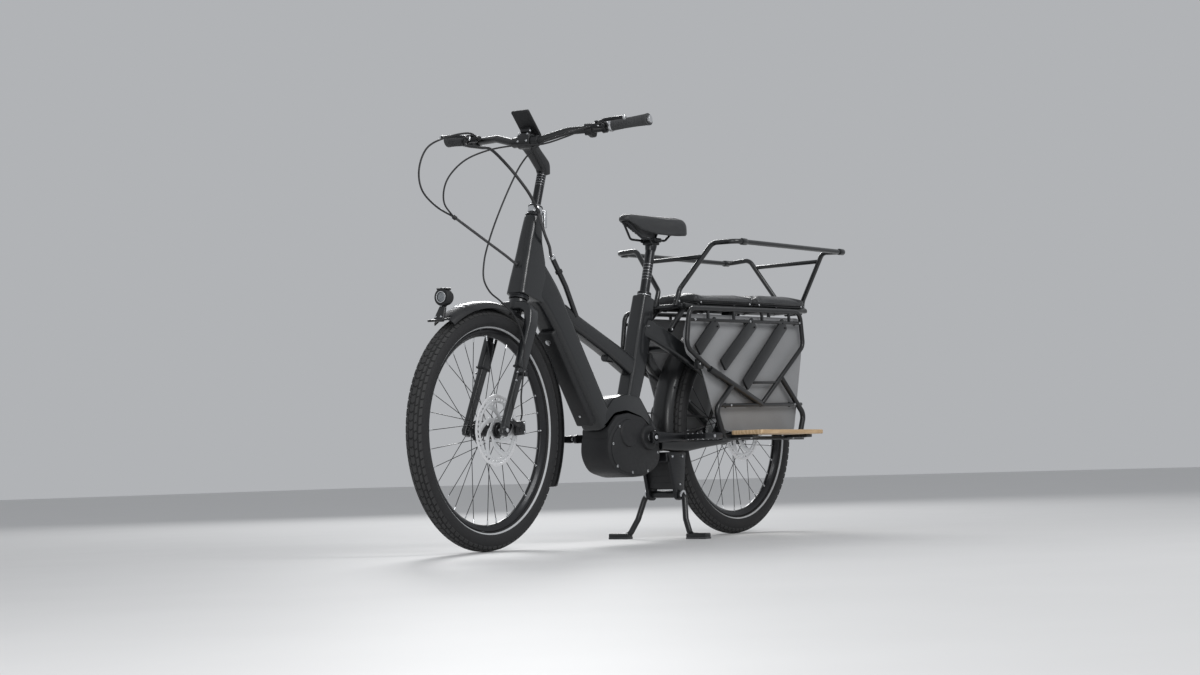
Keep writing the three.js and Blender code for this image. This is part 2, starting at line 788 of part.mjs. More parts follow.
function safetyRails() {
  const frontTie = rod(v3(309, -118, 892), v3(309, 118, 892), 7, 6);
  const rearTie = rod(v3(-392, -132, 922), v3(-392, 132, 922), 7, 6);
  const baseTies = [[350, 737], [-410, 755]].map(([x, z]) => rod(v3(x, -62, z), v3(x, 62, z), 7.5, 6));
  return join([railLoop(1), railLoop(-1), frontTie, rearTie, ...baseTies]);
}

// Flat bar of a side frame between two [x, z] points
function flatBar(from, to, halfWidth, side) {
  const dx = to[0] - from[0];
  const dz = to[1] - from[1];
  const length = Math.hypot(dx, dz);
  const nx = (-dz / length) * halfWidth;
  const nz = (dx / length) * halfWidth;
  const outline = [
    [from[0] + nx, from[1] + nz], [from[0] - nx, from[1] - nz],
    [to[0] - nx, to[1] - nz], [to[0] + nx, to[1] + nz],
  ];
  const y = side * sideFrameY;
  return plate(outline, y - 4, y + 4);
}

function sideFrame(side) {
  const y = side * sideFrameY;
  const at = (x, z) => v3(x, y, z);
  const hoop = bentTube([
    at(300, 535), at(425, 600), at(405, 722), at(-262, 740), at(-276, 625), at(-6, 428),
  ], 7.5, 34, 6, 2);
  const secondBar = rod(at(408, 686), at(-268, 702), 5.5, 6);
  const bottomBar = rod(at(260, 417), at(-250, 426), 6, 6);
  const strutTube = rod(at(300, 533), at(4, 424), 11, 8);
  const frontPost = bentTube([at(168, 486), at(272, 405), at(228, 312)], 9, 30, 6, 2);
  const rearPost = bentTube([at(-128, 514), at(-264, 392), at(-232, 312)], 9, 30, 6, 2);
  const brace = rod(at(48, 494), at(-96, 497), 4.5, 6);
  const slats = [
    flatBar([250, 686], [366, 590], 19, side),
    flatBar([30, 692], [224, 545], 19, side),
    flatBar([-160, 697], [96, 484], 19, side),
  ];
  const foot = plate([[248, 306], [-252, 306], [-252, 318], [248, 318]], y - 6, y + 6);
  const shelf = [180, -150].map((x) => box([x, side * 168, footboardZ - 5.3], [34, 92, 10]));
  const skirtPosts = [[380, 687], [60, 694], [-250, 701.5], [190, 418], [-200, 425]].map(([x, z]) => rod(
    v3(x, side * 122, z), v3(x, side * (skirtY + skirtThickness / 2 + 0.3), z), 5, 6,
  ));
  const clampBlock = box([342, side * 104, 548], [30, 36, 30]);
  const body = join([
    hoop, secondBar, bottomBar, strutTube, frontPost, rearPost, brace, clampBlock, foot,
    ...slats, ...shelf, ...skirtPosts,
  ]);
  return cut(body, [upperStay(side, 0.5), skirt(side, 1)]);
}

// Skirt panel; growing it gives the slot that other parts leave for it
function skirt(side, growth = 0) {
  const outline = [
    [388, 706], [416, 640], [404, 586], [318, 536], [292, 470], [262, 400], [222, 352], [186, 334],
    [-228, 338], [-292, 604], [-284, 720],
  ];
  const y = side * skirtY;
  const half = skirtThickness / 2 + growth * 0.3;
  const edge = outline.map(([x, z]) => [x + growth * Math.sign(x - 60), z + growth * Math.sign(z - 600)]);
  return plate(edge, y - half, y + half);
}

function footboard(side) {
  const outline = [
    [side * 138, 210], [side * 250, 205], [side * 256, 198], [side * 256, -168], [side * 250, -176],
    [side * 138, -180],
  ];
  const shape = new THREE.Shape(outline.map(([y, x]) => new THREE.Vector2(x, y)));
  const geometry = new THREE.ExtrudeGeometry(shape, { depth: footboardThickness, bevelEnabled: false });
  return outward(geometry.translate(0, 0, footboardZ));
}

// Seat pad with a crowned top, drawn-in sides and rounded ends; topAt gives the height of its top
function seatPad(frontX, rearX, steps, topAt) {
  const sections = [];
  const length = frontX - rearX;
  for (let k = 0; k <= steps; k += 1) {
    const part = k / steps;
    const x = frontX - length * part;
    const nearEnd = Math.min(part, 1 - part) * length;
    const round = Math.sqrt(Math.max(0, 1 - ((22 - Math.min(nearEnd, 22)) / 22) ** 2));
    const drawn = 1 - 0.025 * (1 - Math.abs(2 * part - 1) ** 4);
    const half = (padHalfWidth - 10 + 10 * round) * drawn;
    const base = padBaseZ + rackRise(x);
    const height = topAt(x) - base - 9 * (1 - round);
    sections.push([
      v3(x, -half + 6, base), v3(x, -half, base + 9), v3(x, -half + 2, base + height * 0.68),
      v3(x, -half + 12, base + height * 0.9), v3(x, -half * 0.45, base + height),
      v3(x, half * 0.45, base + height), v3(x, half - 12, base + height * 0.9),
      v3(x, half - 2, base + height * 0.68), v3(x, half, base + 9), v3(x, half - 6, base),
    ]);
  }
  return loft(sections);
}

// Front pad: a raised lip, a dip behind it, then a long rise to the seam
function frontPadTop(x) {
  const lip = 13 * Math.max(0, 1 - (padFrontX - x) / 70) ** 1.5;
  const rise = (15 * Math.max(0, 217 - x)) / (217 - padSeamX);
  return 773 + lip + rise;
}

function rearPadTop(x) {
  return 788 + (10 * (padSeamX - x)) / (padSeamX - padRearX);
}

function rearMudguard() {
  const low = THREE.MathUtils.degToRad(-2);
  const high = THREE.MathUtils.degToRad(158);
  const shape = mudguard(low, high, 14, 39, (angle) => 372 + 40 * Math.max(0, Math.cos(angle)) ** 2);
  return shape.translate(0, 0, wheelRadius);
}

function rearLight() {
  return box([-427, 0, 756], [18, 70, 26]);
}

// Seat

function seatpost() {
  const low = onSeatAxis(205);
  const high = onSeatAxis(-178);
  const tube = rod(low, high, seatpostRadius, 16);
  const head = box([high.x, 0, high.z + 6], [44, 40, 18]);
  const slots = [1, -1].map((side) => rod(
    v3(high.x - 60, side * 22, high.z + 14), v3(high.x + 60, side * 22, high.z + 14), 4.4, 8,
  ));
  return cut(join([tube, head]), slots);
}

function saddleRails() {
  const high = onSeatAxis(-178);
  const level = high.z + 14;
  const rail = (side) => bentTube([
    v3(558, side * 8, 992), v3(505, side * 22, level), v3(380, side * 22, level), v3(338, side * 34, 986),
  ], 3.7, 20, 8, 2);
  const nose = box([557, 0, 993], [10, 24, 8]);
  const tail = box([338, 0, 988], [8, 78, 8]);
  return join([rail(1), rail(-1), nose, tail]);
}

// Saddle with deep sides, hollow underneath for the rails: stations of [x, half width, top z, edge z]
function saddle() {
  const stations = [
    [579, 9, 1008, 1000], [568, 20, 1020, 996], [535, 23, 1025, 990], [488, 27, 1026, 978],
    [440, 40, 1026, 968], [400, 58, 1026, 962], [365, 72, 1027, 960], [330, 78, 1027, 962],
    [317, 70, 1021, 968], [309, 50, 1012, 978],
  ];
  const skin = loft(stations.map(([x, half, top, edge]) => [
    v3(x, -half * 0.94, edge), v3(x, -half, edge + (top - edge) * 0.45),
    v3(x, -half * 0.84, edge + (top - edge) * 0.84), v3(x, -half * 0.35, top), v3(x, half * 0.35, top),
    v3(x, half * 0.84, edge + (top - edge) * 0.84), v3(x, half, edge + (top - edge) * 0.45),
    v3(x, half * 0.94, edge),
  ]));
  const padding = 18;
  const hollow = loft(stations.slice(1, -2).map(([x, half, top, edge]) => [
    v3(x, -half * 0.8, edge - 8), v3(x, -half * 0.8, top - padding),
    v3(x, half * 0.8, top - padding), v3(x, half * 0.8, edge - 8),
  ]));
  return cut(toSolid(skin), [hollow]);
}

// Steering parts are drawn with X forward, Y left and Z up the steering axis.

function fork() {
  const crown = rod(v3(0, 0, -252), v3(0, 0, -284), 26, 16);
  const steerer = rod(v3(0, 0, -260), v3(0, 0, 46), steererRadius, 16);
  const blades = [1, -1].map((side) => forkBlade(side));
  const axle = rod(v3(hubForward, -72, hubUp), v3(hubForward, 72, hubUp), axleRadius, 12);
  const bore = rod(v3(0, 0, -150), v3(0, 0, 60), stemPostRadius + 0.5, 16);
  return cut(join([crown, steerer, ...blades, axle]), [bore]);
}

// Blade from the crown's middle out over the shoulder and down to the hub
function forkBlade(side) {
  const spots = [
    [0, 0, -276, 24, 15], [2, 34, -277, 24, 15], [4, 56, -292, 23, 14], [6, 64, -330, 22, 12],
    [20, 65, -460, 19, 11], [hubForward, 65, hubUp + 20, 15, 9], [hubForward, 65, hubUp - 16, 14, 8],
  ];
  const centres = spots.map(([x, y, z]) => v3(x, side * y, z));
  return loft(spots.map(([, , , deep, thick], k) => {
    const from = centres[Math.max(k - 1, 0)];
    const to = centres[Math.min(k + 1, centres.length - 1)];
    const along = to.clone().sub(from).normalize();
    const fore = v3(1, 0, 0).addScaledVector(along, -along.x).normalize();
    return section(centres[k], fore, deep, along.clone().cross(fore), thick, 8);
  }));
}

function frontMudguard() {
  const lean = Math.PI / 2 - headAngle;
  const from = THREE.MathUtils.degToRad(57);
  const to = THREE.MathUtils.degToRad(207);
  const shape = mudguard(from - lean, to - lean, 14, 35, () => 366);
  const channel = shape.translate(hubForward, 0, hubUp);
  const bracket = box([4, 0, -298], [26, 26, 13]);
  const beak = boxTube([[316, 0, -430, 3, 22, 2], [346, 0, -445, 3, 17, 2], [374, 0, -458, 3, 10, 2]]);
  const lampFoot = boxTube([
    [338, 0, -443, 5, 17, 2], [334, 0, -422, 5, 14, 2], [331, 0, -400, 5, 10, 2],
  ]);
  return join([channel, bracket, beak, lampFoot]);
}

// Lamp: a short round body facing forward, level with the ground
function frontLight() {
  const lean = Math.PI / 2 - headAngle;
  const body = turned([[1, -24], [17, -24], [22, -16], [24, 8], [24, 22], [20, 26], [1, 24]], 14);
  const core = rod(v3(0, -23, 0), v3(0, 23, 0), 1.6, 6);
  const lamp = toGeometry(join([body, core]));
  return lamp.rotateZ(-Math.PI / 2).rotateY(lean).translate(lampCentre.x, 0, lampCentre.z);
}

function stemCollar() {
  const band = turned(washer(steererRadius + 0.4, 21, 22.6, 46), 16).rotateX(Math.PI / 2);
  const ears = box([-25, 0, 34], [14, 22, 18]);
  const pin = rod(v3(-26, -16, 34), v3(-26, 10.6, 34), 4, 8);
  const bore = rod(v3(0, 0, 10), v3(0, 0, 60), steererRadius + 0.4, 16);
  return cut(join([band, ears, pin]), [bore]);
}

function stemCollarLever() {
  return join([
    rod(v3(-26, 11.2, 34), v3(-26, 20, 34), 8, 10),
    boxTube([[-26, 17, 40, 6, 4, 3], [-30, 20, 14, 7, 4, 3], [-34, 22, -10, 6, 4, 3]]),
  ]);
}

const barCentre = v3(102, 0, 208);
const displayCentre = v3(113, 0, 257);
const lampCentre = v3(328, 0, -371);
const displayTilt = THREE.MathUtils.degToRad(27);

function stem() {
  const post = rod(v3(0, 0, -72), v3(0, 0, 168), stemPostRadius, 16);
  const elbow = boxTube([
    [-10, 0, 146, 17, 17, 12], [4, 0, 172, 21, 19, 14], [50, 0, 192, 19, 18, 12],
    [84, 0, 204, 18, 20, 10], [104, 0, 208, 21, 23, 10], [121, 0, 212, 18, 22, 9],
  ]);
  const clampBore = rod(v3(barCentre.x, -40, barCentre.z), v3(barCentre.x, 40, barCentre.z), 16.3, 12);
  return cut(join([post, elbow]), [clampBore]);
}

// The bar's line from the middle to the left end; the right half mirrors it
const barLine = [v3(102, 44, 208), v3(80, 128, 240), v3(46, 212, 256), v3(28, 362, 281)];

function barTube(radius) {
  const right = mirrored(barLine).reverse();
  return bentTube([...right, ...barLine], radius, 60, 8, 2);
}

function handlebar() {
  const sleeve = rod(v3(barCentre.x, -46, barCentre.z), v3(barCentre.x, 46, barCentre.z), 15.9, 12);
  return join([barTube(11.1), sleeve]);
}

// A point of the bar on one side, at a distance from the middle
function onBar(side, y) {
  const reached = barLine.findIndex((point) => point.y >= y);
  const next = reached < 1 ? barLine.length - 1 : reached;
  const inner = barLine[next - 1];
  const outer = barLine[next];
  const point = inner.clone().lerp(outer, (y - inner.y) / (outer.y - inner.y));
  return v3(point.x, side * point.y, point.z);
}

// Bore for the bar between two distances from the middle
function barBore(side, from, to) {
  return rod(onBar(side, from), onBar(side, to), 11.7, 10);
}

// Grip with a palm wing that widens to the rear at the outer end
function grip(side) {
  const innerEnd = side > 0 ? 246 : 277;
  const spots = [
    [innerEnd, 16.5, 16.5, 0], [292, 17, 16.5, -2], [325, 21, 16, -6], [350, 28, 14, -12],
    [364, 28, 12, -12], [368, 24, 9, -10],
  ];
  const shape = loft(spots.map(([y, deep, thick, back]) => {
    const centre = onBar(side, y);
    centre.x += back;
    return section(centre, v3(1, 0, 0), deep, v3(0, 0, 1), thick, 14);
  }));
  return cut(toSolid(shape), [barBore(side, 214, 362.5)]);
}

// Brake body: clamp on the bar, cylinder in front of it and the slot that the lever turns in
function brakeBody(side) {
  const arm = onBar(1, 229);
  const clamp = rod(onBar(1, 222), onBar(1, 236), 17, 12);
  const cylinder = rod(v3(arm.x + 28, 207, arm.z - 8), v3(arm.x + 28, 241, arm.z - 8), 9.6, 12);
  const web = box([arm.x + 14, 229, arm.z - 5], [22, 12, 14]);
  const leverSlot = box([arm.x + 46, 236, arm.z - 8], [28, 24, 8]);
  const left = cut(join([clamp, cylinder, web]), [barBore(1, 214, 250), leverSlot]);
  return side > 0 ? left : left.mirror([0, 1, 0]);
}

function brakeLever(side) {
  const arm = onBar(side, 229);
  return boxTube([
    [arm.x + 38, side * 232, arm.z - 8, 5, 3.4, 3], [arm.x + 50, side * 242, arm.z - 8, 5, 3.4, 3],
    [arm.x + 57, side * 262, arm.z - 7, 5, 4, 3], [arm.x + 55, side * 300, arm.z - 4, 5, 6, 3],
    [arm.x + 52, side * 330, arm.z - 2, 5, 6, 3],
  ]);
}

function controlRemote() {
  const centre = onBar(1, 190);
  const body = box([centre.x - 8, 184, centre.z + 2], [44, 24, 34]);
  const top = box([centre.x - 18, 191, centre.z + 16], [26, 28, 10]);
  const pocket = box([centre.x - 20, 191, centre.z + 21], [17, 21, 8]);
  return cut(join([body, top]), [barBore(1, 132, 211.9), pocket]);
}

function remoteRocker() {
  const centre = onBar(1, 190);
  return box([centre.x - 20, 191, centre.z + 22.3], [16, 20, 6.8]);
}

// Twist shifter on the bar, between the brake clamp and the short right grip
function twistShifter() {
  return cut(join([rod(onBar(-1, 248), onBar(-1, 272), 18, 12, 16)]), [barBore(-1, 214, 300)]);
}

// Display: a thin slab over the stem, its upper edge forward, on a foot from the stem
function displayUnit() {
  const body = box([0, 0, 0], [134, 62, 11]);
  const web = box([-8, 0, -11], [13, 26, 13]);
  const pivot = rod(v3(-8, -15, -17.5), v3(-8, 15, -17.5), 7.4, 12);
  const solid = toGeometry(join([body, web, pivot]));
  return solid.rotateY(-displayTilt).translate(displayCentre.x, 0, displayCentre.z);
}

// Hoses and cables, as hand-placed points forward, left and up the steering axis
const hosePaths = {
  frontBrake: [
    [74, 205, 250], [88, 186, 240], [122, 150, 208], [150, 106, 178], [152, 60, 143], [148, 30, 106],
    [148, 12, 57], [176, 10, -43], [216, 25, -148], [247, 45, -235], [246, 56, -290], [222, 66, -317],
    [183, 78, -330], [120, 88, -352], [66, 92, -400], [40, 92, -470], [24, 90, -560], [-2, 84, -600],
    [-26, 66, -612],
  ],
  rightBrake: [
    [77, -203, 250], [120, -200, 247], [196, -226, 200], [253, -240, 141], [274, -235, 60],
    [270, -210, -6], [244, -168, -48], [211, -120, -72], [130, -60, -113], [66, -24, -138],
  ],
  leftControl: [
    [72, 184, 247], [110, 146, 206], [136, 84, 176], [164, 10, 166], [206, -56, 136], [250, -100, 84],
    [268, -130, 16], [250, -138, -40], [214, -124, -70],
  ],
  rightControl: [
    [57, -259, 250], [92, -226, 222], [118, -150, 196], [150, -84, 168], [133, -30, 122],
    [100, 4, 82], [68, 24, 50], [34, 38, 12], [-6, 44, -40],
  ],
};

// Where the bundles enter the frame: into the head tube's front, and into the cable guide
const loomEntry = [onHeadAxis(-148, 44).setY(-8), onHeadAxis(-152, 31).setY(-4)];
const guideEntry = [v3(984, 30, 880), v3(972, 24, 860), v3(966.4, 24, 852.5)];

const steeringMatrix = new THREE.Matrix4().makeTranslation(headPoint)
  .multiply(new THREE.Matrix4().makeRotationY(headAngle - Math.PI / 2))
  .multiply(new THREE.Matrix4().makeRotationZ(steerAngle));

function hosePoints(name) {
  return hosePaths[name].map(([x, y, z]) => v3(x, y, z));
}

function placedPoints(name) {
  return hosePoints(name).map((point) => point.applyMatrix4(steeringMatrix));
}

function frontBrakeHose() {
  return hose(hosePoints("frontBrake"), 2.5, 32, 5);
}

function controlLoom() {
  const right = hose([...placedPoints("rightBrake"), ...loomEntry], 3, 22);
  const left = hose(placedPoints("leftControl"), 2.5, 16, 5);
  return join([right, left]);
}

function cableBundle() {
  return hose([...placedPoints("rightControl"), ...guideEntry], 4.5, 18);
}

// Group whose X, Y and Z run forward, left and up the steering axis, turned by the rest steering angle
function steeringFrame(children) {
  const steered = group(...children);
  steered.applyMatrix4(steeringMatrix);
  return steered;
}

function frontWheel() {
  const wheelGroup = wheel("front", lacedHub(17, 29, 49, 14), frontRotorY);
  wheelGroup.position.set(hubForward, 0, hubUp);
  wheelGroup.rotation.y = Math.PI / 2 - headAngle;
  return wheelGroup;
}

function rearWheel() {
  const wheelGroup = wheel("rear", lacedHub(38, 47, 76, 8.6), rearRotorY);
  wheelGroup.position.set(0, 0, wheelRadius);
  return wheelGroup;
}

function steeringParts() {
  return [
    piece("fork", fork(), "framePaint"),
    piece("front_mudguard", frontMudguard(), "blackPlastic"),
    piece("front_light", frontLight(), "blackPlastic"),
    piece("front_caliper", frontCaliper(), "blackAlloy"),
    piece("stem_collar", stemCollar(), "blackAlloy"),
    piece("stem_collar_lever", stemCollarLever(), "blackAlloy"),
    piece("stem", stem(), "satinBlack"),
    piece("handlebar", handlebar(), "satinBlack"),
    piece("grip_left", grip(1), "rubber"),
    piece("grip_right", grip(-1), "rubber"),
    piece("brake_body_left", brakeBody(1), "blackAlloy"),
    piece("brake_body_right", brakeBody(-1), "blackAlloy"),
    piece("brake_lever_left", brakeLever(1), "blackAlloy"),
    piece("brake_lever_right", brakeLever(-1), "blackAlloy"),
    piece("control_remote", controlRemote(), "blackPlastic"),
    piece("remote_rocker", remoteRocker(), "blackPlastic"),
    piece("twist_shifter", twistShifter(), "blackPlastic"),
    piece("display", displayUnit(), "screen"),
    piece("front_brake_hose", frontBrakeHose(), "rubber"),
    frontWheel(),
  ];
}

function headsetParts() {
  const upper = piece("headset_upper", headsetRing(headTubeTop + 0.4, 22, 25), "blackAlloy");
  const lower = piece("headset_lower", headsetRing(-251.6, headTubeBottom - 0.4, 29), "blackAlloy");
  const lean = group(upper, lower);
  lean.rotation.y = headAngle - Math.PI / 2;
  lean.position.copy(headPoint);
  return lean;
}

function seatCollarPlaced() {
  const lean = group(seatCollar());
  lean.rotation.y = seatAngle - Math.PI / 2;
  lean.position.copy(seatTop);
  return lean;
}

function frameParts() {
  return [
    piece("main_frame", mainFrame(), "framePaint"),
    piece("battery", batteryBay(0.8), "blackPlastic"),
    headsetParts(),
    seatCollarPlaced(),
    piece("motor_unit", motorUnit(), "blackPlastic"),
    piece("drive_belt", driveBelt(), "rubber"),
    piece("rear_caliper", rearCaliper(), "blackAlloy"),
    piece("kickstand_bracket", kickstandBracket(), "blackAlloy"),
    piece("rear_mudguard", rearMudguard(), "blackPlastic"),
    piece("rear_light", rearLight(), "redLens"),
    piece("rack_deck", rackDeck(), "satinBlack"),
    piece("safety_rails", safetyRails(), "satinBlack"),
    piece("side_frame_left", sideFrame(1), "satinBlack"),
    piece("side_frame_right", sideFrame(-1), "satinBlack"),
    piece("skirt_left", skirt(1), "greyPanel"),
    piece("skirt_right", skirt(-1), "greyPanel"),
    piece("footboard_left", footboard(1), "wood"),
    piece("footboard_right", footboard(-1), "wood"),
    piece("seat_pad_front", seatPad(padFrontX, padSeamX + 2, 14, frontPadTop), "vinyl"),
    piece("seat_pad_rear", seatPad(padSeamX - 2, padRearX, 12, rearPadTop), "vinyl"),
  ];
}

function movingParts() {
  return [
    piece("crank_left", crankArm(1), "blackAlloy"),
    piece("crank_right", crankArm(-1), "blackAlloy"),
    piece("belt_ring", beltRing(), "blackAlloy"),
    piece("rear_sprocket", rearSprocket(), "steel"),
    piece("pedal_left", pedal(1), "blackAlloy"),
    piece("pedal_right", pedal(-1), "blackAlloy"),
    piece("kickstand", kickstand(), "satinBlack"),
    piece("seatpost", seatpost(), "satinBlack"),
    piece("saddle_rails", saddleRails(), "steel"),
    piece("saddle", saddle(), "vinyl"),
    rearWheel(),
  ];
}

function looms() {
  return [
    piece("control_loom", controlLoom(), "rubber"),
    piece("cable_bundle", cableBundle(), "rubber"),
  ];
}

// The bike stands with the bottom centre of its box at the origin.
const bike = group(...frameParts(), ...movingParts(), ...looms(), steeringFrame(steeringParts()));
const bikeBox = new THREE.Box3().setFromObject(bike, true);
bike.position.set(-(bikeBox.min.x + bikeBox.max.x) / 2, -(bikeBox.min.y + bikeBox.max.y) / 2, -bikeBox.min.z);

export default group(bike);
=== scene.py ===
import math

import bpy
import numpy as np
from mathutils import Matrix


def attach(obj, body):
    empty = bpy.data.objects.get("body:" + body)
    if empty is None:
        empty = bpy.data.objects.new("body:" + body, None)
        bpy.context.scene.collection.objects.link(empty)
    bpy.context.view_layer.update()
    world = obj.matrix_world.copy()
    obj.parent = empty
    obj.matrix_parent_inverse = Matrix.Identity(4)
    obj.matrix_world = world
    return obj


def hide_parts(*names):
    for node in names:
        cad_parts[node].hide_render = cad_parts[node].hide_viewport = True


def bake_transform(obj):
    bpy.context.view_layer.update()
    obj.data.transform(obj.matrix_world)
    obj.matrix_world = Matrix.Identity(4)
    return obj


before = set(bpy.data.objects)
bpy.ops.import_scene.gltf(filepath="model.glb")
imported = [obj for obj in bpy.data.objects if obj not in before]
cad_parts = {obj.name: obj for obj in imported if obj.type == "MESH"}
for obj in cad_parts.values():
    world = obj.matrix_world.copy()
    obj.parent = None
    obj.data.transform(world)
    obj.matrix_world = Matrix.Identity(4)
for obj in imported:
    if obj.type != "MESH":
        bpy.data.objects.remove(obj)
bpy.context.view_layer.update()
print("frame loaded")

# Longtail cargo bike. Pieces are drawn in millimetres from the rear tyre's contact point, X forward,
# Y to the rider's left, Z up, and placed in the row frame in metres.
bike = {
    "shift": (-584.1848, -1.3257, 0.0),
    "headPoint": (1021.0, 0.0, 960.0),
    "headAngle": 72.0,
    "steer": 4.4,
    "wheelbase": 1265.0,
    "wheelRadius": 341.5,
    "frontHubHeight": 341.7,
    "crank": (554.0, 0.0, 318.0),
    "seatTop": (474.0, 0.0, 760.0),
    "seatAngle": 74.0,
}


def turnY(degrees):  # turn about Y by the right hand
    c, s = math.cos(math.radians(degrees)), math.sin(math.radians(degrees))
    return np.array([[c, 0, s], [0, 1, 0], [-s, 0, c]])


def turnZ(degrees):
    c, s = math.cos(math.radians(degrees)), math.sin(math.radians(degrees))
    return np.array([[c, -s, 0], [s, c, 0], [0, 0, 1]])


def unit(v):  # each row brought to length 1
    v = np.asarray(v, float)
    return v / np.linalg.norm(v, axis=-1, keepdims=True)


def squareTo(v):  # a direction square to v
    return unit(np.cross(v, (0, 0, 1) if abs(v[2]) < 0.9 else (1, 0, 0)))


def fullTurn(count):  # angles round a circle
    return np.linspace(0, 2 * math.pi, count, endpoint=False)


def setUp(thing, right, up, back, place):  # object linked with its own axes and place
    columns = np.column_stack([right, up, back, place])
    thing.matrix_world = Matrix([*columns.tolist(), [0, 0, 0, 1]])
    bpy.context.scene.collection.objects.link(thing)


hubLevel = bike["wheelRadius"]
steerTurn = turnY(bike["headAngle"] - 90) @ turnZ(bike["steer"])
lean = math.radians(bike["headAngle"])
forkReach = bike["wheelbase"] - bike["headPoint"][0]
forkDrop = bike["frontHubHeight"] - bike["headPoint"][2]
hubForward = forkReach * math.sin(lean) + forkDrop * math.cos(lean)
hubUp = -forkReach * math.cos(lean) + forkDrop * math.sin(lean)


def onBike(points):  # drawing to row frame
    return (np.asarray(points, float) + bike["shift"]) / 1000


def onFork(points):  # forward, left and up the steering axis, to the row frame
    return onBike(np.asarray(points, float) @ steerTurn.T + bike["headPoint"])


def onFrontHub(points):  # level wheel coordinates round the front hub
    return onFork(np.asarray(points, float) @ turnY(90 - bike["headAngle"]).T + (hubForward, 0, hubUp))


def onRearHub(points):
    return onBike(np.asarray(points, float) + (0, 0, bike["wheelRadius"]))


def onSeatAxis(down):  # point of the seat tube's axis, below its top
    a = math.radians(bike["seatAngle"])
    return np.array([bike["seatTop"][0] + down * math.cos(a), 0, bike["seatTop"][2] - down * math.sin(a)])


def onHeadAxis(up, forward=0.0):
    x, _, z = bike["headPoint"]
    return np.array([x - up * math.cos(lean) + forward * math.sin(lean), 0,
                     z + up * math.sin(lean) + forward * math.cos(lean)])


# Camera at the photograph's viewing angle
view = {"place": (5.00985, 3.66668, 0.21502), "yaw": 216.904, "pitch": 3.847, "roll": -1.644, "lens": 60.06}
yaw, pitch, roll = (math.radians(view[k]) for k in ("yaw", "pitch", "roll"))
ahead = np.array([math.cos(pitch) * math.cos(yaw), math.cos(pitch) * math.sin(yaw), math.sin(pitch)])
sideways = unit(np.cross(ahead, (0, 0, 1)))
above = np.cross(sideways, ahead)
cameraData = bpy.data.cameras.new("camera")
cameraData.lens = view["lens"]
cameraData.sensor_width = 36
camera = bpy.data.objects.new("camera", cameraData)
setUp(camera, sideways * math.cos(roll) + above * math.sin(roll),
      above * math.cos(roll) - sideways * math.sin(roll), -ahead, view["place"])
bpy.context.scene.camera = camera
print("camera set")


# Shader maths: one output socket wrapped so that sums read as sums
class Wire:
    def __init__(self, tree, socket):
        self.tree, self.socket = tree, socket

    def maths(self, operation, *values):
        node = self.tree.nodes.new("ShaderNodeMath")
        node.operation = operation
        for slot, value in zip(node.inputs, values):
            connect(self.tree, value, slot)
        return Wire(self.tree, node.outputs[0])

    def __add__(self, other):
        return self.maths("ADD", self, other)

    def __sub__(self, other):
        return self.maths("SUBTRACT", self, other)

    def __rsub__(self, other):
        return self.maths("SUBTRACT", other, self)

    def __mul__(self, other):
        return self.maths("MULTIPLY", self, other)

    def __gt__(self, other):
        return self.maths("GREATER_THAN", self, other)

    def __lt__(self, other):
        return self.maths("LESS_THAN", self, other)

    def wave(self):  # 0.5 + 0.5 sin
        return self.maths("SINE", self) * 0.5 + 0.5


def connect(tree, value, slot):
    if isinstance(value, Wire):
        tree.links.new(value.socket, slot)
    else:
        slot.default_value = value


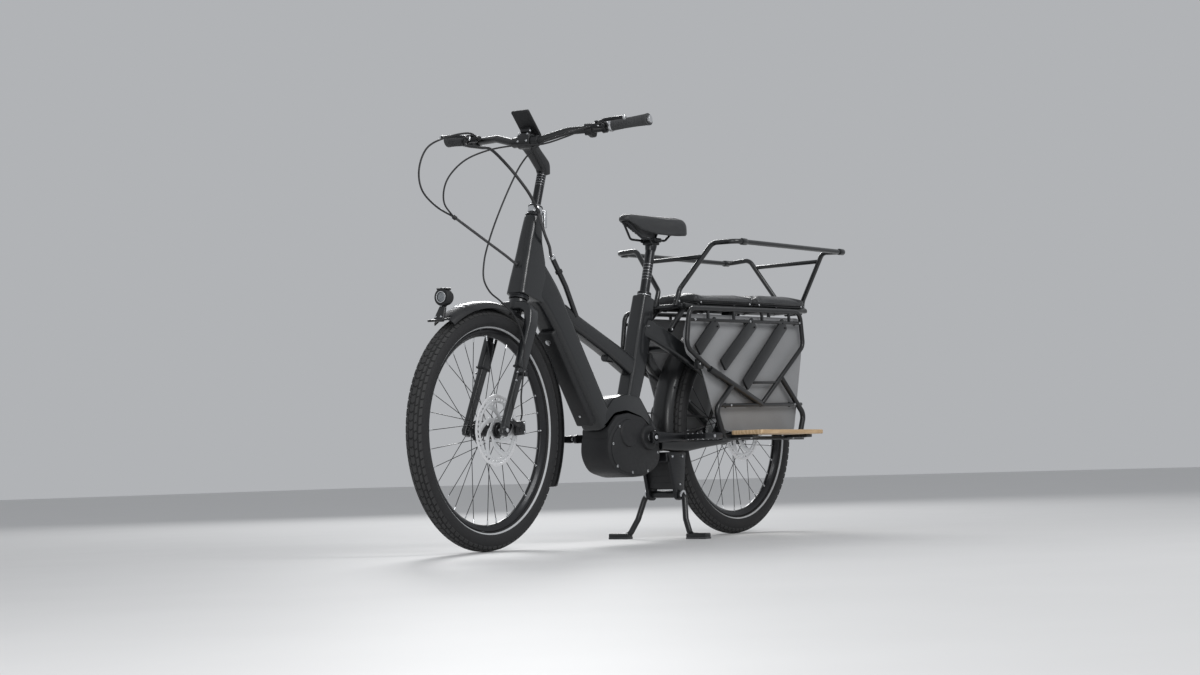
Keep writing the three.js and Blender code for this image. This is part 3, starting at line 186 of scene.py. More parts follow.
class Look:  # one material, with constants on the shader's own sockets
    def __init__(self, name, **fixed):
        self.material = bpy.data.materials.new(name)
        self.material.use_nodes = True
        self.tree = self.material.node_tree
        self.shader = self.tree.nodes["Principled BSDF"]
        for key, value in fixed.items():
            self.shader.inputs[key.replace("_", " ")].default_value = value

    def node(self, kind, settings=None, inputs=None, output=0):
        made = self.tree.nodes.new(kind)
        for key, value in (settings or {}).items():
            setattr(made, key, value)
        for key, value in (inputs or {}).items():
            connect(self.tree, value, made.inputs[key])
        return Wire(self.tree, made.outputs[output])

    def place(self, scale=(1, 1, 1)):  # object coordinates, stretched
        spot = self.node("ShaderNodeTexCoord", output="Object")
        return self.node("ShaderNodeMapping", inputs={"Vector": spot, "Scale": scale})

    def speckle(self, scale, detail=2.0, roughness=0.5, stretch=(1, 1, 1)):
        return self.node("ShaderNodeTexNoise", None, {
            "Vector": self.place(stretch), "Scale": scale, "Detail": detail, "Roughness": roughness}, "Fac")

    def lines(self, value, scale, detail):  # noise along one number
        return self.node("ShaderNodeTexNoise", {"noise_dimensions": "1D"},
                         {"W": value, "Scale": scale, "Detail": detail}, "Fac")

    def cells(self, scale, settings=None, randomness=1.0):
        return self.node("ShaderNodeTexVoronoi", settings,
                         {"Vector": self.place(), "Scale": scale, "Randomness": randomness}, "Distance")

    def bands(self, scale, stretch=(1, 1, 1), **more):  # stripes across Y
        return self.node("ShaderNodeTexWave", {"wave_type": "BANDS", "bands_direction": "Y"},
                         {"Vector": self.place(stretch), "Scale": scale, **more}, "Fac")

    def ramp(self, value, *stops):
        wire = self.node("ShaderNodeValToRGB", None, {"Fac": value})
        elements = wire.socket.node.color_ramp.elements
        while len(elements) < len(stops):
            elements.new(0.5)
        for element, (position, colour) in zip(elements, stops):
            element.position, element.color = position, (*colour, 1)
        return wire

    def between(self, share, first, second):  # colour mixed from first to second
        pick = [(*c, 1) if isinstance(c, tuple) else c for c in (first, second)]
        return self.node("ShaderNodeMix", {"data_type": "RGBA"}, {0: share, 6: pick[0], 7: pick[1]}, 2)

    def band(self, value, low, high):  # 0 below low, 1 above high
        return self.node("ShaderNodeMapRange", {"clamp": True},
                         {"Value": value, "From Min": low, "From Max": high})

    def tag(self, name):  # number stored at each point of the piece
        return self.node("ShaderNodeAttribute", {"attribute_name": name}, output="Fac")

    def finish(self, colour, roughness, height=None, depth=0.0):  # bump depth in metres
        wires = {"Base Color": colour, "Roughness": roughness}
        if height:
            bump = {"Height": height, "Distance": depth}
            wires["Normal"] = self.node("ShaderNodeBump", None, bump, "Normal")
        for socket, wire in wires.items():
            connect(self.tree, wire, self.shader.inputs[socket])
        return self.material


# Clouded skin: two tones mixed by noise, flecks of a third above a threshold, noisy roughness and a fine
# bump of noise or, with one number and a depth, of cells
def cloudedLook(name, cloud, tones, rough, bump, fleck=None, stretch=(1, 1, 1), **fixed):
    look = Look(name, **fixed)
    colour = look.between(look.speckle(*cloud, stretch=stretch), *tones)
    if fleck:
        noise, low, high, share, tone = fleck
        colour = look.between(look.band(look.speckle(*noise), low, high) * share, colour, tone)
    scale, detail, share, least = rough
    height = look.cells(bump[0]) if len(bump) == 2 else look.speckle(*bump[:2])
    return look.finish(colour, look.speckle(scale, detail) * share + least, height, bump[-1])


def brightMetal():
    look = Look("brightMetal", Metallic=1.0)
    brush = look.speckle(60, 4.0, stretch=(1, 26, 26))
    return look.finish(look.between(brush, (0.55, 0.56, 0.58), (0.82, 0.83, 0.84)), brush * 0.22 + 0.16,
                       brush, 0.00004)


def discSteel():
    look = Look("discSteel", Metallic=0.62)
    ring = look.tag("ringRadius")
    groove = look.lines(ring, 2.2, 5.0)
    base = look.between(look.band(ring, 83, 86), (0.78, 0.79, 0.80), (0.90, 0.90, 0.91))
    return look.finish(look.between(groove * 0.3, base, (0.62, 0.63, 0.65)), groove * 0.25 + 0.2,
                       groove, 0.00005)


def tyreRubber():
    look = Look("tyreRubber")
    radius, rib = look.tag("ringRadius"), look.tag("block")
    dust = look.band(radius, 326, 341) * look.speckle(22, 5.0)
    rubber = look.between(look.speckle(160, 4.0), (0.009, 0.009, 0.010), (0.017, 0.017, 0.018))
    # Lighter where dust lies on the crown, and lighter on the raised block tops as a painted highlight that
    # leaves the grooves darker as painted shade
    dustAndLitBlocks = look.between(dust * 0.3 + rib * 0.22, rubber, (0.085, 0.085, 0.084))
    stripe = (radius > 289.2) * (radius < 293.2) * look.tag("outside")
    cords = look.lines(radius, 1.4, 2.0)
    return look.finish(look.between(stripe, dustAndLitBlocks, (0.50, 0.51, 0.52)),
                       look.speckle(300, 3.0) * 0.2 + 0.62 - stripe * 0.3,
                       cords * (1 - rib) + look.speckle(500, 3.0) * 0.4, 0.00035)


def greyPanel():
    look = Look("greyPanel")
    height = look.node("ShaderNodeSeparateXYZ", None, {0: look.place()}, "Z")
    # Painted shade: the panel darkens towards its bottom, blotched by noise
    lowShade = look.band(height, 0.47, 0.34) * look.speckle(16, 5.0)
    sheet = look.between(look.speckle(7, 4.0), (0.255, 0.258, 0.264), (0.315, 0.318, 0.325))
    return look.finish(look.between(lowShade * 0.45, sheet, (0.16, 0.152, 0.14)),
                       look.speckle(140, 3.0) * 0.18 + 0.5,
                       look.cells(900.0, {"distance": "CHEBYCHEV"}, 0.35), 0.00012)


def oiledWood():
    look = Look("oiledWood", Coat_Weight=0.12, Coat_Roughness=0.35)
    ring = look.bands(26.0, (0.18, 1, 1), Distortion=5.5, Detail=3.0, **{"Detail Scale": 1.6})
    fibre = look.speckle(70, 6.0, 0.7, (1.0, 9.0, 9.0))
    tone = look.ramp(ring * 0.55 + fibre * 0.5 + look.speckle(5, 3.0) * 0.15 - 0.08,
                     (0.0, (0.42, 0.27, 0.14)), (0.45, (0.60, 0.42, 0.24)), (1.0, (0.74, 0.56, 0.36)))
    pore = look.band(look.speckle(420, 2.0, stretch=(0.08, 1, 1)), 0.64, 0.72)
    return look.finish(look.between(pore * 0.5, tone, (0.20, 0.115, 0.06)), fibre * 0.25 + 0.38,
                       fibre - pore * 0.6, 0.00018)


def padVinyl():
    look = Look("padVinyl", Coat_Weight=0.18, Coat_Roughness=0.3, Sheen_Weight=0.08)
    grain = look.cells(620.0, {"feature": "DISTANCE_TO_EDGE"}, 0.9)
    crease = look.speckle(40, 6.0, 0.65)
    colour = look.between(look.speckle(11, 4.0), (0.013, 0.014, 0.0155), (0.023, 0.0245, 0.027))
    return look.finish(colour, crease * 0.22 + 0.3, look.band(grain, 0.0, 0.09) + crease * 0.5, 0.00022)


def lampLens():
    look = Look("lampLens", IOR=1.49, Coat_Weight=1.0, Coat_Roughness=0.02)
    flute = look.bands(130.0)
    return look.finish(look.between(flute, (0.10, 0.11, 0.12), (0.30, 0.32, 0.34)), flute * 0.1 + 0.05,
                       flute, 0.0002)


def redLens():
    look = Look("redLens", Coat_Weight=1.0, Coat_Roughness=0.03)
    cells = look.cells(220.0, {"distance": "CHEBYCHEV"}, 0.0)
    return look.finish(look.between(cells, (0.36, 0.012, 0.01), (0.62, 0.03, 0.02)), cells * 0.2 + 0.1,
                       cells, 0.0003)


def darkGlass():
    look = Look("darkGlass", Coat_Weight=1.0, Coat_Roughness=0.03)
    smear = look.speckle(35, 4.0)
    return look.finish(look.between(smear, (0.010, 0.012, 0.015), (0.018, 0.021, 0.026)), smear * 0.14 + 0.06,
                       smear, 0.00002)


def hoseSkin():
    look = Look("hoseSkin")
    run, sleeve, around = look.tag("runLength"), look.tag("sleeve"), look.tag("aroundCord")
    mesh = (run * 1.6 + around * 4).wave() * (run * 1.6 - around * 4).wave() * sleeve
    plain = look.between(look.speckle(90, 3.0), (0.009, 0.009, 0.010), (0.016, 0.016, 0.0175))
    return look.finish(look.between(mesh * 0.8, plain, (0.20, 0.20, 0.205)),
                       look.speckle(200, 2.0) * 0.15 + 0.38 + sleeve * 0.15,
                       mesh + look.speckle(900, 1.0) * 0.1, 0.0003)


looks = {
    "paint": cloudedLook(
        "framePaint", (9, 3.0), ((0.0055, 0.0065, 0.0075), (0.0105, 0.0115, 0.013)), (60, 4.0, 0.16, 0.24),
        (700, 2.0, 0.00005), ((2600, 1.0), 0.58, 0.78, 0.4, (0.06, 0.066, 0.072)),
        Metallic=0.1, Coat_Weight=0.5, Coat_Roughness=0.07),
    "satin": cloudedLook(
        "satinPaint", (14, 4.0), ((0.0055, 0.006, 0.0068), (0.0105, 0.011, 0.0122)), (45, 4.0, 0.2, 0.3),
        (600, 2.0, 0.00001), ((85, 6.0, 0.7), 0.66, 0.74, 0.22, (0.05, 0.05, 0.053)),
        Metallic=0.1, Coat_Weight=0.3, Coat_Roughness=0.16),
    "alloy": cloudedLook(
        "blackAlloy", (30, 3.0), ((0.013, 0.0135, 0.015), (0.030, 0.031, 0.034)), (220, 3.0, 0.18, 0.24),
        (1900, 1.0, 0.00003), stretch=(1, 14, 14), Metallic=0.6, Coat_Weight=0.2, Coat_Roughness=0.14),
    "plastic": cloudedLook(
        "blackPlastic", (12, 3.0), ((0.0075, 0.008, 0.009), (0.0135, 0.014, 0.0155)), (90, 3.0, 0.2, 0.42),
        (1500, 0.00007)),
    "rubber": cloudedLook(
        "gripRubber", (50, 4.0), ((0.040, 0.041, 0.043), (0.066, 0.068, 0.071)), (120, 3.0, 0.2, 0.62),
        (700, 0.0002)),
    "bright": brightMetal(), "disc": discSteel(), "tyre": tyreRubber(), "panel": greyPanel(),
    "wood": oiledWood(), "vinyl": padVinyl(), "lens": lampLens(), "red": redLens(), "glass": darkGlass(),
    "hose": hoseSkin(),
}
print("materials made:", len(looks))


# Closed skins collected into one mesh. Points are in millimetres until they are placed.
class Shape:
    def __init__(self):
        self.points, self.corners, self.sizes, self.finish, self.tags = [], [], [], [], []
        self.total, self.finishes = 0, []

    # A grid of rows by columns, closed round its columns. The ends are closed by a fan to their middle,
    # by one face, or by strips between the columns that pair up; with loop the last row joins the first.
    # Faces turn outward by the sign of the enclosed volume.
    def skin(self, rows, finish, caps="fan", tags=None):
        rows = np.asarray(rows, float)
        n, m = rows.shape[:2]
        loop = caps == "loop"
        index = np.arange(n * m).reshape(n, m)
        here, down = (index, np.roll(index, -1, 0)) if loop else (index[:-1], index[1:])
        faces = [np.stack([here, np.roll(here, -1, 1), np.roll(down, -1, 1), down], -1).reshape(-1, 4)]
        points = rows.reshape(-1, 3)
        if caps == "fan":
            points = np.vstack([points, rows[0].mean(0), rows[-1].mean(0)])
            faces.append(np.column_stack([np.full(m, n * m), np.roll(index[0], -1), index[0]]))
            faces.append(np.column_stack([np.full(m, n * m + 1), index[-1], np.roll(index[-1], -1)]))
        elif caps == "face":
            faces += [index[0][None, ::-1], index[-1][None]]
        elif caps == "strip":
            k = np.arange(m // 2 - 1)
            for ring, flip in ((index[0], -1), (index[-1], 1)):
                strip = np.column_stack([ring[k], ring[k + 1], ring[m - 2 - k], ring[m - 1 - k]])
                faces.append(strip[:, ::flip])
        centred, volume = points - points.mean(0), 0.0
        for group in faces:
            for k in range(1, group.shape[1] - 1):
                a, b, c = centred[group[:, 0]], centred[group[:, k]], centred[group[:, k + 1]]
                volume += np.einsum("ij,ij->i", a, np.cross(b, c)).sum()
        for group in faces:
            turned = group[:, ::-1] if volume < 0 else group
            self.corners.append((turned + self.total).ravel())
            self.sizes.append(np.full(len(group), group.shape[1]))
            self.finish.append(np.full(len(group), self.slot(finish)))
        spare = {}
        for key, grid in (tags or {}).items():
            flat = np.broadcast_to(grid, (n, m)).reshape(-1)
            ends = [flat[:m].mean(), flat[-m:].mean()] if caps == "fan" else []
            spare[key] = np.concatenate([flat, ends])
        self.tags.append((len(points), spare))
        self.points.append(points)
        self.total += len(points)
        return self

    def slot(self, name):
        if name not in self.finishes:
            self.finishes.append(name)
        return self.finishes.index(name)

    # Turns the collected skins into one object. bodies is a body's name, to which the object is attached, or
    # (first, second, start, end) for a piece that runs between two bodies, which is left unattached.
    def build(self, name, bodies, place, replaces=(), sharp=35):
        points = place(np.vstack(self.points))
        corners, sizes = np.concatenate(self.corners), np.concatenate(self.sizes)
        mesh = bpy.data.meshes.new(name)
        mesh.vertices.add(len(points))
        mesh.vertices.foreach_set("co", points.astype(np.float32).ravel())
        mesh.loops.add(len(corners))
        mesh.loops.foreach_set("vertex_index", corners.astype(np.int32))
        mesh.polygons.add(len(sizes))
        starts = np.concatenate([[0], np.cumsum(sizes)[:-1]])
        mesh.polygons.foreach_set("loop_start", starts.astype(np.int32))
        mesh.polygons.foreach_set("loop_total", sizes.astype(np.int32))
        mesh.polygons.foreach_set("material_index", np.concatenate(self.finish).astype(np.int32))
        for key in sorted({k for _, spare in self.tags for k in spare}):
            values = np.concatenate([spare.get(key, np.zeros(count)) for count, spare in self.tags])
            mesh.attributes.new(key, "FLOAT", "POINT").data.foreach_set("value", values.astype(np.float32))
        mesh.update(calc_edges=True)
        mesh.shade_smooth()
        mesh.set_sharp_from_angle(angle=math.radians(sharp))
        for finish in self.finishes:
            mesh.materials.append(looks[finish])
        made = bpy.data.objects.new(name, mesh)
        bpy.context.scene.collection.objects.link(made)
        if isinstance(bodies, str):
            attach(made, bodies)
        else:
            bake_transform(made)
        if replaces:
            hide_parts(*replaces)
        return made

    # The same for a piece with a twin: Left or Right is added to its name and node, and its body is the
    # node's own unless one is named
    def buildSide(self, side, name, node, place, body=None):
        word = "Left" if side > 0 else "Right"
        return self.build(name + word, body or node + word.lower(), place, [node + word.lower()])


# Path of straight runs joined by round bends. A bend of radius R at a corner turning by 2h has its
# centre R / cos h from the corner and its arc runs from -h to h.
def bentPath(corners, bendRadius, steps=7):
    corners = [np.asarray(c, float) for c in corners]
    path = [corners[0]]
    for before, corner, after in zip(corners, corners[1:], corners[2:]):
        arrive, leave = unit(corner - before), unit(after - corner)
        half = math.acos(np.clip(arrive @ leave, -1, 1)) / 2
        if half < 0.01:
            continue
        room = 0.49 * min(np.linalg.norm(corner - before), np.linalg.norm(after - corner))
        radius = min(bendRadius, room / math.tan(half))
        inward, along = unit(leave - arrive), unit(leave + arrive)
        angle = np.linspace(-half, half, steps)[:, None]
        centre = corner + inward * radius / math.cos(half)
        path += list(centre - inward * radius * np.cos(angle) + along * radius * np.sin(angle))
    path.append(corners[-1])
    return np.array(path)


# Smooth curve through points: a centripetal Catmull-Rom spline, each span from t1 to t2 mixed from
# straight lines between knots t0 to t3
def smoothPath(points, perSpan=6):
    points = np.asarray(points, float)
    ends = np.vstack([2 * points[0] - points[1], points, 2 * points[-1] - points[-2]])
    knots = np.concatenate([[0], np.cumsum(np.sqrt(np.linalg.norm(np.diff(ends, axis=0), axis=1)))])
    path = []
    for k in range(1, len(ends) - 2):
        t = np.linspace(knots[k], knots[k + 1], perSpan, endpoint=False)[:, None]
        p, u = ends[k - 1:k + 3], knots[k - 1:k + 3]
        a = [(p[i] * (u[i + 1] - t) + p[i + 1] * (t - u[i])) / (u[i + 1] - u[i]) for i in range(3)]
        b = [(a[i] * (u[i + 2] - t) + a[i + 1] * (t - u[i])) / (u[i + 2] - u[i]) for i in range(2)]
        path += list((b[0] * (u[2] - t) + b[1] * (t - u[1])) / (u[2] - u[1]))
    return np.vstack([path, points[-1]])


def pathLength(path):
    return float(np.linalg.norm(np.diff(path, axis=0), axis=1).sum())


def runAlong(path):  # distance of each point from the first
    return np.concatenate([[0], np.cumsum(np.linalg.norm(np.diff(path, axis=0), axis=1))])


def evenly(line, count):  # points at even steps round a closed line
    line = np.vstack([line, line[:1]])
    run = runAlong(line)
    spots = np.linspace(0, run[-1], count, endpoint=False)
    return np.column_stack([np.interp(spots, run, column) for column in line.T])


def settle(values, times):  # each value averaged with its neighbours as (a + 2b + c) / 4
    for _ in range(times):
        values[1:-1] = (values[:-2] + 2 * values[1:-1] + values[2:]) / 4


# Two directions square to a path, carried from point to point with no twist
def carriedAxes(path):
    tangent = unit(np.gradient(path, axis=0))
    normal = [squareTo(tangent[0])]
    for direction in tangent[1:]:
        normal.append(unit(normal[-1] - direction * (normal[-1] @ direction)))
    normal = np.array(normal)
    return tangent, normal, np.cross(tangent, normal)


# Ends rounded over by edge: both end rows are taken three times, moved along and made smaller.
# Gives the row to take, its move and its loss.
def roundedEnds(count, edge):
    middle = np.zeros(count - 2)
    return (np.concatenate([[0, 0, 0], np.arange(1, count - 1), [-1, -1, -1]]),
            np.concatenate([[0, 0.3, 1], middle, [-1, -0.3, 0]])[:, None] * edge,
            np.concatenate([[1, 0.3, 0], middle, [0, 0.3, 1]]) * edge)


# Round tube: p + r (n cos t + b sin t) along the path
def tube(shape, path, radius, finish, sides=16, edge=0.8, marks=None):
    tangent, normal, binormal = carriedAxes(path)
    pick, inset, trim = roundedEnds(len(path), edge)
    centres = path[pick] + tangent[pick] * inset
    angle = fullTurn(sides)
    ring = normal[pick][:, None] * np.cos(angle)[:, None] + binormal[pick][:, None] * np.sin(angle)[:, None]
    return shape.skin(centres[:, None] + ring * (radius - trim)[:, None, None], finish,
                      tags=marks(runAlong(centres)[:, None], angle[None]) if marks else None)


# Round bead laid along a closed path, whose up direction is square to it: p + r (o cos t + up sin t)
def bead(shape, path, up, radius, sides, finish):
    out = np.cross(unit(np.roll(path, -1, 0) - np.roll(path, 1, 0)), up)
    t = fullTurn(sides)[:, None]
    return shape.skin(path[:, None] + radius * (out[:, None] * np.cos(t) + np.asarray(up, float) * np.sin(t)),
                      finish, "loop")


# Body of revolution: [distance along, radius] pairs turned about the line that leaves start
def spindle(shape, start, direction, profile, finish, sides=32, caps="fan"):
    direction = unit(direction)
    side = squareTo(direction)
    other = np.cross(direction, side)
    profile = np.asarray(profile, float)
    angle = fullTurn(sides)[:, None]
    ring = side * np.cos(angle) + other * np.sin(angle)
    rows = np.asarray(start, float) + profile[:, :1, None] * direction + profile[:, 1:, None] * ring
    return shape.skin(rows, finish, caps)


def rod(shape, start, end, radius, finish, sides=20, edge=0.8):
    way = np.subtract(end, start)
    length = np.linalg.norm(way)
    edge = min(edge, length * 0.3, radius * 0.5)
    profile = [(0, radius - edge), (edge * 0.3, radius - edge * 0.3), (edge, radius),
               (length - edge, radius), (length - edge * 0.3, radius - edge * 0.3), (length, radius - edge)]
    return spindle(shape, start, way, profile, finish, sides)


# Collar round a line: closed section of [distance along, radius] with its corners rounded
def collar(shape, start, direction, inner, outer, length, finish, sides=32, soft=1.0):
    section = roundSection([(0, inner), (length, inner), (length, outer), (0, outer)], soft)
    return spindle(shape, start, direction, section, finish, sides, caps="loop")


def roundY(radius, y, angle):  # (r cos t, y, r sin t)
    return np.stack(np.broadcast_arrays(radius * np.cos(angle), y, radius * np.sin(angle)), -1)


# Ring of a closed section of [radius, y] at a place; its corners beyond edge follow the wave, which has
# one value for each step round the ring
def wavyRing(shape, section, wave, edge, place, finish):
    radius, y = np.array(section, float).T
    radius = radius + wave[:, None] * (radius > edge)
    shape.skin(roundY(radius, y, fullTurn(len(wave))[:, None]) + place, finish, "loop",
               {"ringRadius": radius})


# Each corner p of an outline becomes the curve (1-t)^2 a + 2t(1-t) p + t^2 b between points on its sides
def roundSection(points, radius, steps=4):
    points = np.asarray(points, float)
    before, after = np.roll(points, 1, 0), np.roll(points, -1, 0)
    t = np.linspace(0, 1, steps)[:, None]
    rows = []
    for p, a, b in zip(points, before, after):
        toA, toB = np.linalg.norm(a - p), np.linalg.norm(b - p)
        reach = min(radius, 0.45 * toA, 0.45 * toB)
        u, v = p + (a - p) / toA * reach, p + (b - p) / toB * reach
        rows.append((1 - t) ** 2 * u + 2 * t * (1 - t) * p + t ** 2 * v)
    return np.vstack(rows)


# Rounded box outline round each centre: half sizes a and b, corner radius r
def boxRows(centres, deep, wide, a, b, r, perCorner=6):
    angle = np.concatenate([np.linspace(k, k + 1, perCorner) for k in range(4)]) * math.pi / 2
    signA = np.repeat([1, -1, -1, 1], perCorner)[None]
    signB = np.repeat([1, 1, -1, -1], perCorner)[None]
    r = np.minimum(r, np.minimum(a, b) * 0.98)[:, None]
    u = signA * (a[:, None] - r) + r * np.cos(angle)
    v = signB * (b[:, None] - r) + r * np.sin(angle)
    return centres[:, None] + deep[:, None] * u[..., None] + wide[:, None] * v[..., None]


# Box tube through stations [x, y, z, half depth, half width, corner]. Every value runs straight between
# stations and is then settled; depth is square to Y, or along deepAxis.
def boxTube(shape, stations, finish, count=48, ease=4, edge=1.5, perCorner=6, deepAxis=None):
    stations = np.asarray(stations, float)
    run = runAlong(stations[:, :3])
    spots = np.linspace(0, run[-1], count)
    values = np.column_stack([np.interp(spots, run, column) for column in stations.T])
    settle(values, ease)
    centres = values[:, :3]
    along = unit(np.gradient(centres, axis=0))
    guide = np.asarray(deepAxis or (0, 1, 0), float)
    square = unit(guide - along * (along @ guide)[:, None])
    other = np.cross(along, square)
    deep, wide = (square, other) if deepAxis else (other, square)
    pick, inset, trim = roundedEnds(count, edge)
    a, b, r = values[pick, 3:].T
    spots = centres[pick] + along[pick] * inset
    return shape.skin(boxRows(spots, deep[pick], wide[pick], a - trim, b - trim, r, perCorner), finish)


# Plate: a rounded outline of [x, z] points carried from y low to y high; near its faces the outline is
# moved in along its own normal so that the rims are rounded over
def plate(shape, outline, low, high, finish, corner=3.0, bevel=1.0, steps=4, move=None):
    flat = roundSection(outline, corner, steps)
    x, z = flat[:, 0], flat[:, 1]
    if (x * np.roll(z, -1) - np.roll(x, -1) * z).sum() < 0:
        flat = flat[::-1]
    forward = np.roll(flat, -1, 0) - np.roll(flat, 1, 0)
    forward /= np.maximum(np.linalg.norm(forward, axis=1), 1e-9)[:, None]
    normal = np.column_stack([forward[:, 1], -forward[:, 0]])
    bevel = min(bevel, (high - low) * 0.45)
    rows = []
    for y, loss in ((low, 1), (low + bevel * 0.3, 0.3), (low + bevel, 0), (high - bevel, 0),
                    (high - bevel * 0.3, 0.3), (high, 1)):
        spot = flat - normal * bevel * loss
        rows.append(np.column_stack([spot[:, 0], np.full(len(spot), y), spot[:, 1]]))
    rows = np.array(rows)
    return shape.skin(move(rows) if move else rows, finish, "face")


# Box with rounded edges; axes holds the directions of its sizes
def block(shape, centre, size, finish, soft=2.0, axes=None):
    axes = np.eye(3) if axes is None else np.asarray(axes, float)
    hx, hy, hz = (s / 2 for s in size)
    edge = min(soft, hx * 0.9, hy * 0.9, hz * 0.9)
    angle = np.linspace(0, math.pi / 2, 4)
    ys = np.concatenate([-hy + edge * (1 - np.cos(angle)), hy - edge * (1 - np.cos(angle[::-1]))])
    loss = np.concatenate([edge * (1 - np.sin(angle)), edge * (1 - np.sin(angle[::-1]))])
    ones = np.ones((len(ys), 1))
    rows = boxRows(ys[:, None] * (0, 1, 0), ones * (1, 0, 0), ones * (0, 0, 1), hx - loss, hz - loss,
                   np.maximum(edge - loss, 0.05), 4)
    return shape.skin(rows @ axes + np.asarray(centre, float), finish)


# Bolt head with a domed rim and a sunk socket
def bolt(shape, centre, normal, radius=4.0, height=3.0, finish="bright"):
    profile = [(-1, radius * 0.9), (height * 0.45, radius), (height * 0.8, radius * 0.92),
               (height, radius * 0.7), (height, radius * 0.52), (height * 0.35, radius * 0.45)]
    return spindle(shape, centre, normal, profile, finish, sides=18)


print("tools ready")

# Cords. Routes are forward, left and up the steering axis; they end on the bike in drawing coordinates.
routes = {
    "frontBrake": [
        (74, 205, 250), (88, 186, 240), (122, 150, 208), (150, 106, 178), (152, 60, 143), (148, 30, 106),
        (148, 12, 57), (176, 10, -43), (216, 25, -148), (247, 45, -235), (246, 56, -290), (222, 66, -317),
        (183, 78, -330), (120, 88, -352), (66, 92, -400), (40, 92, -470), (24, 90, -560), (-2, 84, -600),
        (-26, 66, -612)],
    "rightBrake": [
        (77, -203, 250), (120, -200, 247), (196, -226, 200), (253, -240, 141), (274, -235, 60),
        (270, -210, -6), (244, -168, -48), (211, -120, -72)],
    "loomDown": [(211, -120, -72), (130, -60, -113), (66, -24, -138)],
    "leftControl": [
        (72, 184, 247), (110, 146, 206), (136, 84, 176), (164, 10, 166), (206, -56, 136), (250, -100, 84),
        (268, -130, 16), (250, -138, -40), (211, -124, -71)],
    "rightControl": [
        (57, -259, 250), (92, -226, 222), (118, -150, 196), (150, -84, 168), (133, -30, 122),
        (100, 4, 82), (68, 24, 50), (34, 38, 12)],
    "bundleDown": [(34, 38, 12), (-6, 44, -40)],
}
loomEntry = [onHeadAxis(-148, 44) + (0, -8, 0), onHeadAxis(-152, 31) + (0, -4, 0)]
guideEntry = [(984, 30, 880), (972, 24, 860), (966.4, 24, 852.5)]


# One cord as a round tube on a smooth path; the sleeve tag turns its skin to a braided one
def freeCord(name, row, radius, bodies, sleeve, replaces):
    path = smoothPath(row, 8)
    piece = Shape()
    tube(piece, path * 1000, radius, "hose", 14, 0.4, lambda run, angle: {
        "runLength": run, "aroundCord": angle, "sleeve": sleeve})
    made = piece.build(name, (*bodies, path[0], path[-1]), lambda p: p / 1000, replaces)
    radius * 0.002
    return path


loomLower = np.vstack([onFork(routes["loomDown"]), onBike(loomEntry)])
bundleLower = np.vstack([onFork(routes["bundleDown"]), onBike(guideEntry)])
cordLengths = {}
for name, row, radius, bodies, sleeve, stands in (
        ("frontBrakeHose", onFork(routes["frontBrake"]), 2.5, ("stem", "steering"), 0, ["front_brake_hose"]),
        ("rightBrakeHose", onFork(routes["rightBrake"]), 2.8, ("stem", "steering"), 0, ["control_loom"]),
        ("leftControlCable", onFork(routes["leftControl"]), 2.5, ("stem", "steering"), 0, []),
        ("loomToFrame", loomLower, 4.0, ("steering", "bike"), 1, []),
        ("rightControlCables", onFork(routes["rightControl"]), 4.5, ("stem", "steering"), 0,
         ["cable_bundle"]),
        ("bundleToFrame", bundleLower, 4.5, ("steering", "bike"), 1, [])):
    cordLengths[name] = pathLength(freeCord(name, row, radius, bodies, sleeve, stands))
print("cords made:", {k: round(v, 3) for k, v in cordLengths.items()})

ties = Shape()
for spot, way, radius in (
        ((211, -121, -72), (-1, 0.74, -0.5), 6.4), ((34, 38, 12), (-0.62, 0.2, -0.75), 6.0)):
    collar(ties, spot - unit(way) * 6, way, radius - 2.4, radius, 12, "plastic")
ties.build("cableTies", "steering", onFork)

# Wheels
tyre = {"core": 310.5, "deep": 28.2, "half": 30.0, "tread": 2.8, "blocks": 90, "chevron": 3.4}


# Tyre: casing r = core + deep cos f, y = half sin f for f from bead to bead over the crown, with blocks
# raised along (cos f, sin f) where the pattern of row and turn is 1; the rows lean back as chevrons by
# chevron |sin f| degrees
def tyreSkin(shape):
    y = np.array([0, 5.6, 6.5, 9.0, 9.9, 15.6, 16.5, 18.4, 19.3, 24.6, 25.6])
    row = np.array([0, 0, -1, -1, 1, 1, -1, -1, 2, 2, -1])
    wall = np.radians([66, 76, 88, 100, 112, 122, 128, 131, 134, 138, 146, 152])
    f = np.concatenate([np.arcsin(y / tyre["half"]), wall])
    row = np.concatenate([row, np.full(len(wall), -1)])
    f = np.concatenate([f, -f[:0:-1]])
    row = np.concatenate([row, row[:0:-1]])
    period = np.array([0.06, 0.10, 0.40, 0.44, 0.56, 0.60, 0.90, 0.94])
    turn = ((np.arange(tyre["blocks"])[:, None] + period) / tyre["blocks"] * 2 * math.pi).ravel()
    even = np.tile([0, 1, 1, 1, 1, 1, 1, 0], tyre["blocks"])[:, None]
    odd = np.tile([1, 1, 1, 0, 0, 1, 1, 1], tyre["blocks"])[:, None]
    raised = np.where(row < 0, 0, np.where(row == 1, odd, even))
    ridge = 0.5 * np.exp(-((np.degrees(np.abs(f)) - 112) / 4) ** 2)
    lift = raised * tyre["tread"] + ridge
    skew = np.radians(tyre["chevron"]) * np.minimum(np.abs(np.sin(f)), 0.86)
    radius = tyre["core"] + (tyre["deep"] + lift) * np.cos(f)
    outside = (np.abs(np.degrees(f)) > 100).astype(float)
    return shape.skin(roundY(radius, (tyre["half"] + lift) * np.sin(f), turn[:, None] + skew), "tyre", "loop",
                      {"ringRadius": radius, "block": raised.astype(float), "outside": outside})


rim = {"holes": 32, "lean": 62.0, "bed": 268.0}


def rimSkin(shape):
    half = [(284.6, 11.5), (284.6, 14.2), (281.5, 15.0), (276, 13.2), (268.5, 6.5), (266, 3.5)]
    section = roundSection(half + [(r, -y) for r, y in half[::-1]], 1.6)
    return shape.skin(roundY(section[:, 0], section[:, 1], fullTurn(128)[:, None]), "alloy", "loop")


